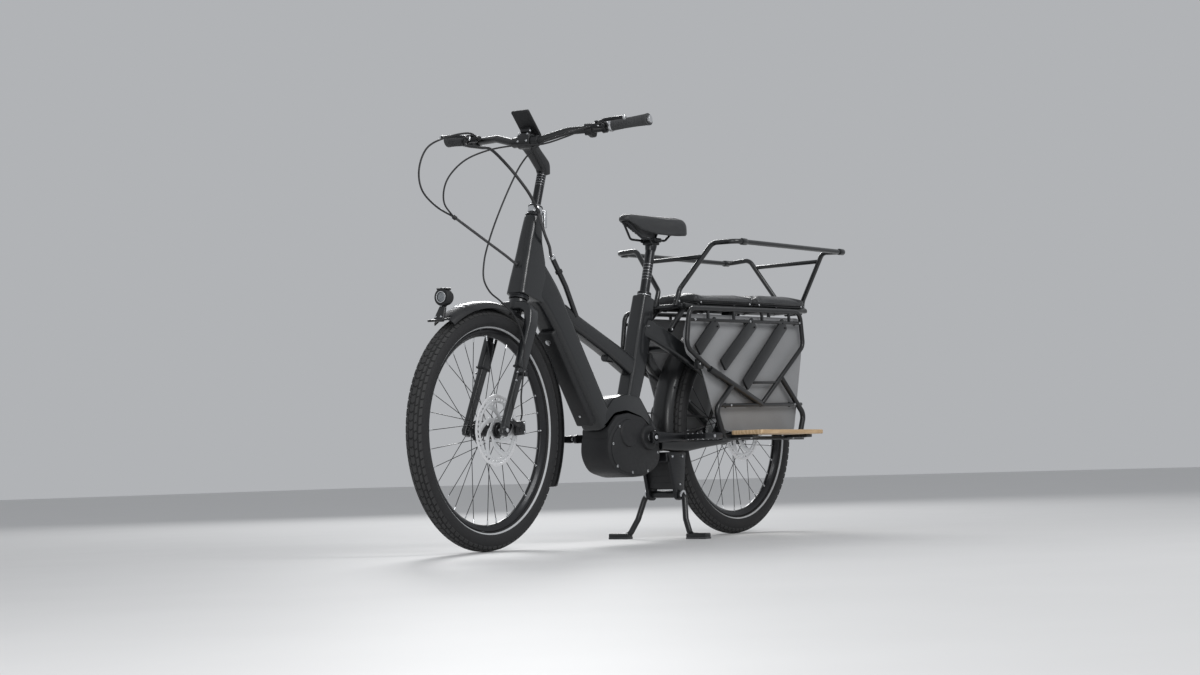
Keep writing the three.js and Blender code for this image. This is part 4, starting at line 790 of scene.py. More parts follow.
# Spokes leave each flange on a tangent and end at nipples in the rim
def spokes(shape, flange, finish):
    for k in range(rim["holes"]):
        side, leaning = (1 if k % 2 == 0 else -1), (1 if k % 4 < 2 else -1)
        atRim = 2 * math.pi * k / rim["holes"]
        start = roundY(flange - 3, side * (30 + 2 * leaning), atRim + leaning * math.radians(rim["lean"]))
        end = roundY(rim["bed"], side * (3 + 1.6 * leaning), atRim)
        way = unit(end - start)
        rod(shape, start, end, 1.05, finish, 8, 0.2)
        spindle(shape, end - way * 15, way, [(0, 1.3), (0.8, 2.0), (12, 2.2), (12.5, 3.0), (15, 3.0)],
                "bright", 10)
        rod(shape, start + (0, side * 2.2, 0), start + (0, -side * 2.2, 0), 1.9, "bright", 8, 0.5)


def hubSkin(shape, shell, flange, rightEnd, rightRadius):
    profile = [
        (-rightEnd, 7.4), (-rightEnd, rightRadius - 1), (-rightEnd + 1, rightRadius), (-50, rightRadius),
        (-47, 15), (-45, 16), (-34, flange * 0.72), (-33.4, flange - 1), (-32.4, flange), (-28, flange),
        (-27, flange - 1), (-25.5, shell + 5), (-21, shell), (21, shell), (25.5, shell + 5), (27, flange - 1),
        (28, flange),
        (32.4, flange), (33.4, flange - 1), (34, 21), (36, 17.6), (48, 17.6), (49, 16.6), (49, 7.4)]
    return spindle(shape, (0, 0, 0), (0, 1, 0), profile, "alloy", 48)


disc = {"outer": (91.5, 101.0), "inner": (78.0, 85.0), "bridges": 40, "arms": 6, "sweep": 1.15, "half": 0.95}


# Brake disc: an outer hoop whose edge waves as r = 101 + 0.7 cos 12t and an inner hoop, joined by slanted
# bridges, with arms that sweep as t = k + sweep (1 - share)^1.3 and a black carrier at the hub
def rotorSkin(shape, y):
    half = disc["half"]
    for (low, high), wave in ((disc["outer"], 0.7), (disc["inner"], 0.0)):
        section = [(low, half - 0.1), (low + 0.3, half), (high - 0.4, half), (high, half - 0.2)]
        ripple = np.cos(fullTurn(192) * 12) * wave
        wavyRing(shape, section + [(r, -w) for r, w in section[::-1]], ripple, high - 1, (0, y, 0), "disc")
    for k in range(disc["bridges"]):
        t = 2 * math.pi * k / disc["bridges"]
        start, end = roundY(disc["inner"][1] - 1.5, y, t), roundY(disc["outer"][0] + 1.5, y, t + 0.07)
        boxTube(shape, [(*start, 2.6, half - 0.08, 0.3), (*end, 2.6, half - 0.08, 0.3)], "disc", 3, 0, 0.2, 2)
    share = np.linspace(0, 1, 16)
    width = 7.4 + 2.4 * (2 * share - 1) ** 4
    for k in range(disc["arms"]):
        path = roundY(26 + share * 56, y, 2 * math.pi * k / disc["arms"] + disc["sweep"] * (1 - share) ** 1.3)
        stations = np.column_stack([path, width, np.full(16, half - 0.05), np.full(16, 0.4)])
        boxTube(shape, stations, "disc", 22, 0, 0.4, 3)
    collar(shape, (0, y - half, 0), (0, 1, 0), 17, 33, 2 * half, "disc", 60, 0.4)
    collar(shape, (0, y + half, 0), (0, 1, 0), 12, 23, 4.4, "alloy", 48, 1.0)
    return shape


def wheel(prefix, place, body, shell, flange, rightEnd, rightRadius, rotorY):
    tyreSkin(Shape()).build(prefix + "Tyre", body, place, [prefix + "_tyre"], 28)
    rimSkin(Shape()).build(prefix + "Rim", body, place, [prefix + "_rim"], 45)
    laced = hubSkin(Shape(), shell, flange, rightEnd, rightRadius)
    spokes(laced, flange, "alloy")
    laced.build(prefix + "HubAndSpokes", body, place, [prefix + "_hub_and_spokes"])
    rotor = rotorSkin(Shape(), rotorY)
    for k in range(6):
        bolt(rotor, roundY(28, rotorY + 0.9, 2 * math.pi * k / 6), (0, 1, 0), 2.8, 1.8)
    rotor.build(prefix + "Rotor", body, place, [prefix + "_rotor"])


wheel("front", onFrontHub, "front_wheel", 17, 29, 49, 14, 39)
wheel("rear", onRearHub, "rear_wheel", 38, 47, 76, 8.6, 44)
print("wheels made")

# Frame
framePlan = {
    "headShell": [(10, 0, 25.5, 25, 22), (-20, -1, 27, 25, 18), (-70, -7, 34, 26, 16),
                  (-125, -20, 48, 28, 16), (-180, -27, 56, 31, 17), (-238, -29, 58, 34, 18)],
    "seatTube": [(0, 31, 26), (16, 31.5, 26), (115, 36, 27), (230, 34, 27)],
    "downTube": [(1052, 0, 812, 62, 22, 20), (1022, 0, 776, 58, 30, 22), (985, 0, 736, 50, 37, 22),
                 (930, 0, 655, 43, 40, 20), (760, 0, 399, 38, 41, 20), (735, 0, 361, 37, 41, 20)],
    "topTube": [(905, 0, 697, 24, 22, 14), (845, 0, 664, 25, 24, 14), (700, 0, 602, 26, 24, 14),
                (600, 0, 556, 30, 23, 14), (530, 0, 524, 34, 22, 14)],
    "yoke": [(757, 345), (700, 388), (640, 396), (560, 376), (482, 312), (446, 300), (442, 279), (427, 277),
             (420, 318), (470, 338), (520, 392), (566, 446), (640, 452), (700, 440), (748, 398)],
}


def upperStay(shape, side):
    return boxTube(shape, [
        (505, side * 12, 668, 30, 12, 9), (455, side * 36, 640, 30, 13, 9), (400, side * 66, 602, 28, 13, 9),
        (300, side * 92, 538, 20, 10, 8), (150, side * 91, 448, 12, 8, 6), (30, side * 84, 372, 11, 5, 4),
        (8, side * 84, 356, 12, 4, 3)], "paint", 70, 5)


def chainStay(shape, side):
    return boxTube(shape, [
        (470, side * 38, 300, 22, 15, 9), (400, side * 46, 297, 24, 11, 8), (330, side * 54, 297, 21, 9, 7),
        (150, side * 74, 312, 16, 9, 7), (50, side * 84, 334, 15, 5, 4), (10, side * 84, 341, 18, 4, 3)],
        "paint", 60, 5)


def mainFrame():
    body = Shape()
    shell = [(*onHeadAxis(up, forward), *size) for up, forward, *size in framePlan["headShell"]]
    boxTube(body, shell, "paint", 60, 4, 3, 10)
    boxTube(body, framePlan["downTube"], "paint", 70, 6, perCorner=9)
    boxTube(body, framePlan["topTube"], "paint", 50, 5, perCorner=8)
    seatTube = [(*onSeatAxis(down), depth, width, 12) for down, depth, width in framePlan["seatTube"]]
    boxTube(body, [*seatTube, (590, 0, 400, 29, 26, 12), (600, 0, 380, 28, 26, 12)], "paint", 60, 4, 2, 8)
    plate(body, framePlan["yoke"], -42, 42, "paint", 12, 7)
    for side in (1, -1):
        chainStay(body, side)
        upperStay(body, side)
        plate(body, [(24, 322), (24, 372), (-8, 366), (-18, 348), (-18, 332), (-6, 320)], side * 84 - 4,
              side * 84 + 4, "paint", 6, 1.2)
        rod(body, (0, side * 88, hubLevel), (0, side * 93, hubLevel), 11, "bright", 6)
        rod(body, (0, side * 91, hubLevel), (0, side * 96, hubLevel), 5.4, "bright")
        for x, y, z, radius, height in ((493, 22, 667, 4.5, 13), (16, 88, 352, 4, 3), (452, 49, 300, 4, 3.4)):
            bolt(body, (x, side * y, z), (0, side, 0), radius, height)
    rod(body, (590, 0, 556), (690, 0, 566), 14, "paint", 24)
    rod(body, (392, -62, 600), (392, 62, 600), 12, "paint", 24)
    rod(body, (0, -92, hubLevel), (0, 92, hubLevel), 6, "bright")
    guide = bentPath([(966, 24, 852), (905, 24, 770), (852, 20, 682)], 60)
    tube(body, guide, 8, "paint", 20, 1.0)
    collar(body, guide[0] + (2.4, 0, 3.3), guide[1] - guide[0], 4.8, 9.2, 9, "bright", 28)
    collar(body, (938, 24, 815), guide[1] - guide[0], 7.8, 11, 9, "plastic", 28)
    for spot in ((840, 0, 575), (786, 0, 494)):
        bolt(body, np.array(spot) + (-31, 0, 20), (-0.834, 0, 0.552), 4.2, 5)
    # Port where the loom enters
    port = onHeadAxis(-152, 24)
    spindle(body, port + (-3, -3, 0), onHeadAxis(0, 1) - onHeadAxis(0),
            [(0, 15), (4, 14.5), (6.5, 12.5), (8, 9), (8, 5.2)], "plastic")
    return body.build("mainFrame", "bike", onBike, ["main_frame"])


# Battery cover set in the front of the down tube, with a bolt at each end and a lock near its top
def batteryCover():
    body = Shape()
    slope = math.radians(56.5)
    along, front = roundY(1, 0, slope), roundY(1, 0, slope - math.pi / 2)
    start, end = np.array([764, 0, 372]) + along * 0.8, np.array([950, 0, 653]) - along * 0.8
    middle = (start + end) / 2 + front * 14
    block(body, middle, (55, 60, np.linalg.norm(end - start) - 6), "plastic", 7, [front, (0, 1, 0), along])
    for share in (0.12, 0.88):
        bolt(body, start + (end - start) * share + front * 41, front, 4, 2)
    rod(body, end - along * 34 + front * 38, end - along * 34 + front * 43, 9, "bright", 28, 1)
    return body.build("batteryCover", "bike", onBike, ["battery"])


def motorUnit():
    body = Shape()
    outline = [(752, 322), (758, 262), (722, 214), (640, 196), (560, 200), (506, 226), (486, 252), (486, 296),
               (560, 362), (640, 384), (698, 376)]
    plate(body, outline, -54, 56, "plastic", 26, 9, 6)
    plate(body, [(492, 268), (482, 306), (566, 380), (640, 394), (702, 386), (750, 344), (748, 280)], -50, 52,
          "plastic", 10, 5, 6)
    for low, high in ((54, 59), (-57, -52)):
        plate(body, [(x * 0.9 + 62, z * 0.9 + 29) for x, z in outline], low, high, "plastic", 22, 2.5, 6)
    for spot, way, profile in (
            ((655, 50, 332), 1, [(0, 44), (9, 43), (13, 40), (14, 36), (13, 30), (14, 26)]),
            ((554, 50, 318), 1, [(0, 41), (12, 39), (17, 36), (18.5, 30), (17, 18)]),
            ((554, -50, 318), -1, [(0, 36), (6, 34), (8, 30), (7.5, 15)])):
        spindle(body, spot, (0, way, 0), profile, "plastic", 48)
    for x, z in ((735, 300), (716, 232), (640, 212), (560, 215), (505, 272), (700, 352)):
        for side, y in ((1, 57), (-1, 55)):
            bolt(body, (x, side * y, z), (0, side, 0), 4.4, 3)
    return body.build("motorUnit", "bike", onBike, ["motor_unit"])


mainFrame()
batteryCover()
motorUnit()

head = Shape()
axis = onHeadAxis(1) - onHeadAxis(0)
for up, profile in (
        (10.4, [(0, 21), (0, 25), (2, 26), (4, 25.2), (4.6, 24.2), (5.4, 24.2), (9, 21.5), (11.6, 17.5),
                (11.6, 16)]),
        (-251.6, [(0, 22), (0, 28), (1, 29), (6, 29), (7, 28), (8, 29), (11.2, 29), (11.2, 24)])):
    spindle(head, onHeadAxis(up), axis, profile, "alloy", 48)
head.build("headsetRings", "bike", onBike, ["headset_upper", "headset_lower"])

clamp = Shape()
seatWay = onSeatAxis(-1) - onSeatAxis(0)
seatFront = np.array([seatWay[2], 0, -seatWay[0]])
collar(clamp, onSeatAxis(-0.4), seatWay, 15.8, 22.4, 16.6, "alloy", 48, 1.6)
collar(clamp, onSeatAxis(-5), seatWay, 20, 23.2, 2, "bright", 48, 0.6)
block(clamp, onSeatAxis(-8.5) - seatFront * 25, (12, 13, 13), "alloy", 2.4, [seatFront, (0, 1, 0), seatWay])
pinch = onSeatAxis(-8.5) - seatFront * 26
rod(clamp, pinch - (0, 9, 0), pinch + (0, 9, 0), 3.4, "bright")
clamp.build("seatClamp", "bike", onBike, ["seat_collar"])
print("frame made")

# Drive
crank = np.array(bike["crank"])
crankPlan = {"length": 170.0, "inner": 83.0, "outer": 90.0, "pedal": 148.0}


def crankArm(side):
    body = Shape()
    reach, inner, outer = -side * crankPlan["length"], side * crankPlan["inner"], side * crankPlan["outer"]
    x, _, z = crank
    boxTube(body, [(x + reach * share, y, z, *size) for share, y, *size in (
        (-0.1, inner, 19, 7, 6), (0.12, inner, 18, 7, 6), (0.5, outer, 13, 6, 5), (1, outer, 13, 6.5, 5),
        (1.08, outer, 10, 6, 5))], "alloy", 50, 3, 3)
    for spot, profile, sides in (
            ((x + reach, side * 84, z), [(0, 12), (1, 13.2), (12, 13.2), (13.5, 12), (13.5, 7)], 32),
            ((x, side * 76, z), [(0, 19), (2, 20), (14, 20), (15.6, 18.6), (15.6, 12), (14, 11)], 40)):
        spindle(body, spot, (0, side, 0), profile, "alloy", sides)
    rod(body, (x + reach, outer, z), (x + reach, side * 194, z), 5, "bright", 18)
    bolt(body, (x, side * 89, z), (0, side, 0), 7)
    if side < 0:
        rod(body, (x, -80, z), (x, 76, z), 12, "bright", 24)
        rod(body, (x, -59, z), (x, -78, z), 26, "alloy", 32)
    body.buildSide(side, "crank", "crank_", onBike, "cranks")


# Platform pedal: two end bars, two long bars, a barrel and rows of pins
def pedal(side):
    body = Shape()
    x, y, z = crank + (-side * crankPlan["length"], side * crankPlan["pedal"], 0)
    outline = [(x - 48, z - 7), (x - 40, z - 10), (x + 40, z - 10), (x + 48, z - 7), (x + 48, z + 7),
               (x + 40, z + 10), (x - 40, z + 10), (x - 48, z + 7)]
    for middle in (y - side * 34, y + side * 38):
        plate(body, outline, middle - 5, middle + 5, "alloy", 3, 1.5)
    for end in (-1, 1):
        block(body, (x + end * 43, y, z), (9, 84, 17), "alloy", 2.5)
        for k in range(4):
            spot = (x + end * 43, y - 27 + k * 18, z)
            rod(body, np.add(spot, (0, 0, -10.4)), np.add(spot, (0, 0, 10.4)), 1.6, "bright", 8, 0.4)
    spindle(body, (x, side * 108, z), (0, side, 0),
            [(0, 8), (1, 11), (6, 12), (40, 9.5), (76, 9), (80, 7.5), (80, 6)], "alloy", 28)
    body.buildSide(side, "pedal", "pedal_", onBike)


# Belt ring whose outer edge waves as clipped cos(teeth t), 1.5 mm either way
def toothedRing(body, centre, outer, inner, teeth, finish):
    tooth = np.clip(np.cos(fullTurn(teeth * 6) * teeth) * 1.8, -1, 1) * 1.5
    half = belt["half"]
    section = [(inner, half - 0.6), (inner + 0.6, half), (outer - 2, half), (outer - 1.2, half - 0.6)]
    wavyRing(body, section + [(r, -y) for r, y in section[::-1]], tooth, outer - 3,
             (centre[0], belt["y"], centre[2]), finish)


belt = {"y": -68.0, "half": 5.5, "big": 89.5, "small": 44.5, "pitch": 11.0}


def drive():
    ring, level = Shape(), crank * (1, 0, 1) + (0, belt["y"], 0)
    toothedRing(ring, crank, 87, 72, 55, "alloy")
    for k in range(5):
        t = 2 * math.pi * k / 5 - 0.12
        start, end = level + roundY(32, 0, t - 0.2), level + roundY(76, 0, t)
        boxTube(ring, [(*start, 9, 4, 3), (*(start * 0.5 + end * 0.5), 6, 3.4, 2.5), (*end, 8, 3.6, 3)],
                "alloy", 16, 1)
    collar(ring, level - (0, 5, 0), (0, 1, 0), 26.3, 35, 10, "alloy", 48, 1.2)
    ring.build("beltRing", "cranks", onBike, ["belt_ring"])
    cog = Shape()
    toothedRing(cog, (0, 0, hubLevel), 42, 9.2, 26, "disc")
    cog.build("rearSprocket", "rear_sprocket", onBike, ["rear_sprocket"])
    # Belt: its loop is an arc round each ring joined by the outer tangents; the inner edge is toothed
    dx, dz = crank[0], crank[2] - hubLevel
    heading, opening = math.atan2(dz, dx), math.acos((belt["big"] - belt["small"]) / math.hypot(dx, dz))
    first = heading + np.linspace(-opening, opening, 60)
    second = heading + np.linspace(opening, 2 * math.pi - opening, 40)
    line = np.vstack([roundY(belt["big"], 0, first)[:, ::2] + crank[::2],
                      roundY(belt["small"], 0, second)[:, ::2] + (0, hubLevel)])
    count = int(pathLength(np.vstack([line, line[:1]])) / belt["pitch"]) * 4
    path = evenly(line, count)
    way = unit(np.roll(path, -1, 0) - np.roll(path, 1, 0))
    tooth = np.array([1.1, 1.1, -0.6, -0.6])[np.arange(count) % 4]
    rows = []
    inner = -tooth - 0.6
    for lift, y in ((2.1, 4.6), (2.1, -4.6), (1.5, -5.4), (inner, -5.4), (inner, 5.4), (1.5, 5.4)):
        x, z = path[:, 0] + way[:, 1] * lift, path[:, 1] - way[:, 0] * lift
        rows.append(np.column_stack([x, np.full(count, belt["y"] + y), z]))
    strap = Shape().skin(np.stack(rows, 1), "rubber", "loop")
    strap.build("driveBelt", "bike", onBike, ["drive_belt"])


for side in (1, -1):
    crankArm(side)
    pedal(side)
drive()


# Brake caliper: two halves either side of the disc joined by a bolted bridge, cooling fins and a mount arm
def caliper(name, body, place, hub, y, degrees, armEnd, node):
    shape = Shape()
    t = math.radians(degrees)
    out, onward = roundY(1, 0, t), roundY(1, 0, t + math.pi / 2)
    axes = [out, (0, 1, 0), onward]
    centre = hub + out * 94 + (0, y + 4, 0)
    for along, up, size, soft in ((0, 8.6, (46, 12.6, 40), 4), (0, -11.4, (44, 7.2, 38), 3),
                                  (15, -3.5, (14, 12, 38), 2.5)):
        block(shape, centre + out * along + (0, up, 0), size, "alloy", soft, axes)
    for k in range(4):
        block(shape, centre + onward * (k * 6 - 9) + out * 3 + (0, 15.4, 0), (26, 3, 2.6), "alloy", 1, axes)
    for k in (-1, 1):
        bolt(shape, centre + out * 15 + onward * k * 13 + (0, 14, 0), (0, 1, 0), 4, 3.2)
    arm = hub + out * 97 + (0, y + 12, 0)
    rod(shape, arm, armEnd, 7, "alloy", 20)
    bolt(shape, np.asarray(armEnd, float) + (0, 3, 0), (0, 1, 0), 5, 4)
    shape.build(name, body, place, [node])


caliper("frontCaliper", "steering", onFork, (hubForward, 0, hubUp), 39, 158,
        (hubForward - 22, 62, hubUp + 40), "front_caliper")
caliper("rearCaliper", "bike", onBike, (0, 0, hubLevel), 44, 50, (70, 78, 404), "rear_caliper")


# Two-leg stand: the barrel turns in its bracket and each leg ends in a foot with a rubber pad
def kickstand():
    body = Shape()
    pivot = np.array([390.0, 0, 139])
    rod(body, pivot - (0, 66, 0), pivot + (0, 66, 0), 11.5, "satin", 32, 1.2)
    for side in (1, -1):
        leg = bentPath([pivot + (0, side * 30, 0), pivot + (0, side * 74, 0), (412, side * 92, 62),
                        (426, side * 118, 11), (430, side * 150, 9.5)], 26, 10)
        tube(body, leg, 9.2, "satin", 24, 1.5)
        block(body, (430, side * 150, 11.5), (30, 76, 13), "satin", 4)
        block(body, (430, side * 150, 3.2), (30, 76, 6.4), "rubber", 2)
        for k in range(5):
            block(body, (430, side * (122 + k * 14), 1.1), (29, 6, 2.2), "rubber", 0.6)
        collar(body, pivot + (0, side * 66, 0), (0, side, 0), 6, 13.4, 6, "bright", 32)
    body.build("kickstand", "kickstand", onBike, ["kickstand"])
    mount = Shape()
    outline = [(452, 272), (350, 272), (354, 252), (366, 150), (371, 128), (381, 120), (399, 120), (409, 128),
               (414, 150), (440, 254)]
    for side in (1, -1):
        plate(mount, outline, side * 52 - 6, side * 52 + 6, "alloy", 8, 1.8)
        for x, z in ((372, 258), (428, 258)):
            bolt(mount, (x, side * 58, z), (0, side, 0), 4.5, 3.5)
        bolt(mount, (390, side * 58, 170), (0, side, 0), 4, 3)
    block(mount, (401, 0, 256), (96, 104, 32), "alloy", 4)
    plate(mount, [(424, 262), (414, 262), (398, 160), (404, 154), (410, 160)], -48, 48, "plastic", 2, 0.8)
    for k in range(4):
        block(mount, (414 - k * 2.6, 0, 236 - k * 20), (13, 92, 3), "plastic", 1)
    mount.build("kickstandBracket", "bike", onBike, ["kickstand_bracket"])


kickstand()
print("drive and stand made")

# Load part
load = {"slope": 1.4, "padFront": 294.0, "padSeam": -52.0, "padRear": -378.0, "padBase": 748.5, "deck": 738.0,
        "rail": 235.0, "side": 125.0, "skirt": 106.0, "slack": 0.008, "pressure": 4.0,
        "mounts": ((380, 687), (60, 694), (-250, 701.5), (190, 418), (-200, 425))}


def rise(x):
    return (load["padFront"] - x) * math.tan(math.radians(load["slope"]))


def barZ(x):
    return 722 + (405 - x) * 0.027


def rackDeck():
    body = Shape()
    spot = lambda x, side: np.array([x, side * 62, load["deck"] + rise(x)])
    for side in (1, -1):
        rod(body, spot(341, side), spot(-401, side), 9, "satin", 28, 1.5)
        for x in (270, 60, -200):
            rod(body, spot(x, side), (x, side * 116.8, barZ(x)), 5, "satin", 18)
            collar(body, spot(x, side) + (-7, 0, 0), (1, 0, 0), 8.6, 10.6, 14, "satin", 28, 1)
            bolt(body, spot(x, side) + (0, side * 6, 8), (0, side * 0.6, 0.8), 3.6, 3)
        rod(body, (325, side * 50, 733), (420.5, side * 61, 655), 9, "satin", 24)
        rod(body, spot(-170, side), (-4, side * 94.8, 352), 6, "satin")
        for x, y, z, radius in ((-2, 95, 350, 5), (418, 66, 657, 4.5)):
            bolt(body, (x, side * y, z), (0, side, 0), radius, 4)
    for x in (333, 200, 0, -200, -393):
        rod(body, spot(x, -1), spot(x, 1), 7, "satin", 24)
    body.build("rackDeck", "bike", onBike, ["rack_deck"])


def safetyRails():
    body = Shape()
    for side in (1, -1):
        loop = bentPath([(357, side * 40, 737), (333, side * 41, 792), (298, side * 150, 934),
                         (290, side * load["rail"], 933), (-378, side * load["rail"], 944),
                         (-386, side * 150, 950), (-410, side * 50, 792), (-410, side * 42, 755)], 30, 9)
        tube(body, loop, 8, "paint", 22, 1.5)
        for x in (262, -350):
            spindle(body, (x, side * load["rail"], 933 + (290 - x) * 0.0165), (-1, 0, 0.0165),
                    [(0, 8), (0.6, 10.4), (2, 11), (26, 11), (27.4, 10.4), (28, 8)], "paint", 28)
        for x, z, y in ((350, 752, 40.4), (-410, 770, 44)):
            collar(body, (x - 1, side * y, z - 8), (0, 0, 1), 7.6, 10.4, 14, "satin", 28, 1)
            bolt(body, (x, side * (y + 9), z), (0, side, 0), 3.6, 3)
    for x, y, z, radius in (
            (309, 118, 892, 7), (-392, 132, 922, 7), (350, 62, 737, 7.5), (-410, 62, 755, 7.5)):
        rod(body, (x, -y, z), (x, y, z), radius, "paint", 22, 1.2)
    body.build("safetyRails", "bike", onBike, ["safety_rails"])


# Slat: a flat bar between two [x, z] points with rounded edges and two bolts at its upper end
def slat(body, a, b, half, side):
    a, b = np.array(a, float), np.array(b, float)
    way, y = unit(b - a), side * load["side"]
    edge = np.array([-way[1], way[0]]) * half
    plate(body, [a + edge, a - edge, b - edge, b + edge], y - 4, y + 4, "satin", 6, 1.3)
    for shift in (-0.5, 0.5):
        x, z = a + way * 12 + edge * shift
        bolt(body, (x, y + side * 4, z), (0, side, 0), 3.4, 2.2, "alloy")


def sideFrame(side):
    body = Shape()
    y = side * load["side"]
    for bend, radius, *corners in (
            (34, 7.5, (300, 535), (425, 600), (405, 722), (-262, 740), (-276, 625), (-6, 428)),
            (30, 9, (168, 486), (272, 405), (228, 312)), (30, 9, (-128, 514), (-264, 392), (-232, 312))):
        tube(body, bentPath([(x, y, z) for x, z in corners], bend, 9), radius, "satin", 22, 1.2)
    for (x0, z0), (x1, z1), radius, sides, edge in (
            ((408, 686), (-268, 702), 5.5, 20, 0.8), ((260, 417), (-250, 426), 6, 20, 0.8),
            ((300, 533), (4, 424), 11, 24, 1.5), ((48, 494), (-96, 497), 4.5, 18, 0.8)):
        rod(body, (x0, y, z0), (x1, y, z1), radius, "satin", sides, edge)
    for a, b in (((250, 686), (366, 590)), ((30, 692), (224, 545)), ((-160, 697), (96, 484))):
        slat(body, a, b, 21.5, side)
    plate(body, [(248, 306), (-252, 306), (-252, 318), (248, 318)], y - 6, y + 6, "satin", 2, 1)
    for x in (180, -150):
        block(body, (x, side * 168, 316.7), (34, 92, 10), "satin", 2)
        for out in (150, 196):
            bolt(body, (x, side * out, 312), (0, 0, -1), 4, 3)
    for x, z in load["mounts"]:
        rod(body, (x, side * 122, z), (x, side * 108, z), 5, "satin", 18)
        bolt(body, (x, side * 130, z), (0, side, 0), 4, 3)
    for x in (300, 150, -20, -190):
        block(body, (x, y, barZ(x) - 16), (9, 9, 34), "satin", 2.5)
    block(body, (342, side * 112, 548), (30, 20, 30), "satin", 3)
    for shift in (-9, 9):
        bolt(body, (342 + shift, side * 122, 548), (0, side, 0), 3.8, 3)
    body.buildSide(side, "sideFrame", "side_frame_", onBike, "bike")


# Skirt: a thin flat panel edged by a bead
def skirt(side):
    body = Shape()
    outline = [(388, 706), (416, 640), (404, 586), (318, 536), (292, 470), (262, 400), (222, 352), (186, 334),
               (-228, 338), (-292, 604), (-284, 720)]
    y = side * load["skirt"]
    plate(body, outline, y - 1.4, y + 1.4, "panel", 14, 0.8, 6)
    rounded = roundSection([(x - np.sign(x - 60) * 2, z - np.sign(z - 530) * 2) for x, z in outline], 14, 6)
    bead(body, np.insert(rounded, 1, y, 1), (0, 1, 0), 2.4, 8, "panel")
    for x, z in load["mounts"]:
        collar(body, (x, y - 1.9, z), (0, 1, 0), 5.4, 9, 3.8, "plastic", 28, 0.8)
    body.buildSide(side, "skirt", "skirt_", onBike, "bike")


# Footboard: rounded timber with a rolled edge and countersunk bolts
def footboard(side):
    body = Shape()
    outline = [(138, 210), (250, 205), (256, 198), (256, -168), (250, -176), (138, -180)]
    lay = lambda rows: np.stack([rows[..., 2], side * rows[..., 0], rows[..., 1]], -1)
    plate(body, outline, 322, 336, "wood", 10, 3.2, 6, move=lay)
    for x in (192, -150):
        for out in (150, 196):
            spindle(body, (x, side * out, 333.4), (0, 0, 1),
                    [(0, 5), (2.4, 7), (2.9, 6.6), (2.9, 3.4), (1.6, 3)], "bright", 24)
    body.buildSide(side, "footboard", "footboard_", onBike, "bike")


rackDeck()
safetyRails()
for side in (1, -1):
    sideFrame(side)
    skirt(side)
    footboard(side)
print("load frame made")


# Mudguard: closed channel section carried round the wheel at r(t), ends closed between its two skins
def guardSkin(shape, centre, low, high, half, radiusAt):
    wall, depth = 2.4, guard["depth"]
    share = np.linspace(0, 1, 13)
    bow = np.radians(-88 + 176 * share)
    y = np.sin(bow) * half * (0.86 + 0.14 * np.abs(np.sin(bow)))
    drop = -depth * (1 - np.cos(bow)) ** 1.25
    inner = (half - wall) / half
    outerSkin = np.column_stack([drop, y])
    innerSkin = np.column_stack([np.maximum(drop - wall, -depth + 0.4 * (drop - wall + depth)),
                                 y * inner])[::-1]
    innerSkin[0, 0] = innerSkin[-1, 0] = drop[0]
    section = np.vstack([outerSkin, innerSkin])
    angle = np.linspace(low, high, 90)[:, None]
    rows = roundY(radiusAt(angle) + section[:, 0], section[:, 1], angle)
    return shape.skin(rows + centre, "satin", "strip")


guard = {"front": 366.0, "frontHalf": 35.0, "rear": 372.0, "rearHalf": 39.0, "widens": 40.0, "depth": 22.0}


def rearMudguard():
    body = Shape()
    reach = lambda t: guard["rear"] + guard["widens"] * np.maximum(0, np.cos(t)) ** 2
    hub = np.array([0, 0, hubLevel])
    guardSkin(body, hub, math.radians(-2), math.radians(158), guard["rearHalf"], reach)
    block(body, (0, 0, 724), (24, 30, 26), "satin", 3)
    for t in (math.radians(20), math.radians(150)):
        for side in (1, -1):
            r = reach(t) - 10
            rod(body, hub + roundY(r, side * 35, t), hub + roundY(r * 0.97, side * 36, t), 4, "satin", 16)
    body.build("rearMudguard", "bike", onBike, ["rear_mudguard"])


def rearLight():
    body = Shape()
    block(body, (-424, 0, 756), (12, 70, 26), "plastic", 4)
    block(body, (-429.5, 0, 756), (12, 64, 21), "red", 4.5)
    for side in (1, -1):
        block(body, (-436, side * 18, 756), (1.4, 22, 13), "lens", 0.6)
    body.build("rearLight", "bike", onBike, ["rear_light"])


rearMudguard()
rearLight()


# Pad blank: a crowned block drawn a little small, later blown out by cloth pressure. Its section at each
# station is y = half |cos t|^0.28, z = base + height (0.5 + 0.5 |sin t|^0.45), both with their signs, and
# the top falls by 10 % of |y / half|^3 to its sides.
def padBlank(front, rear, topAt):
    stations = np.linspace(0, 1, 46)
    x = front - (front - rear) * stations
    near = np.minimum(stations, 1 - stations) * (front - rear)
    rounding = np.sqrt(np.maximum(0, 1 - ((20 - np.minimum(near, 20)) / 20) ** 2))
    half = (70 + 10 * rounding) * (1 - 0.025 * (1 - np.abs(2 * stations - 1) ** 4))
    base = load["padBase"] + rise(x)
    height = topAt(x) - base - 7 * (1 - rounding)
    t = 2 * math.pi * np.linspace(0, 1, 40, endpoint=False)
    wide = np.sign(np.cos(t)) * np.abs(np.cos(t)) ** 0.28
    tall = np.sign(np.sin(t)) * np.abs(np.sin(t)) ** 0.45
    crown = 1 - 0.10 * np.abs(wide) ** 3 * (tall > 0)
    z = base[:, None] + height[:, None] * (tall * 0.5 + 0.5) * crown
    return np.stack(np.broadcast_arrays(x[:, None], half[:, None] * wide, z), -1)


def readPoints(mesh):
    points = np.empty(len(mesh.vertices) * 3)
    mesh.vertices.foreach_get("co", points)
    return points.reshape(-1, 3)


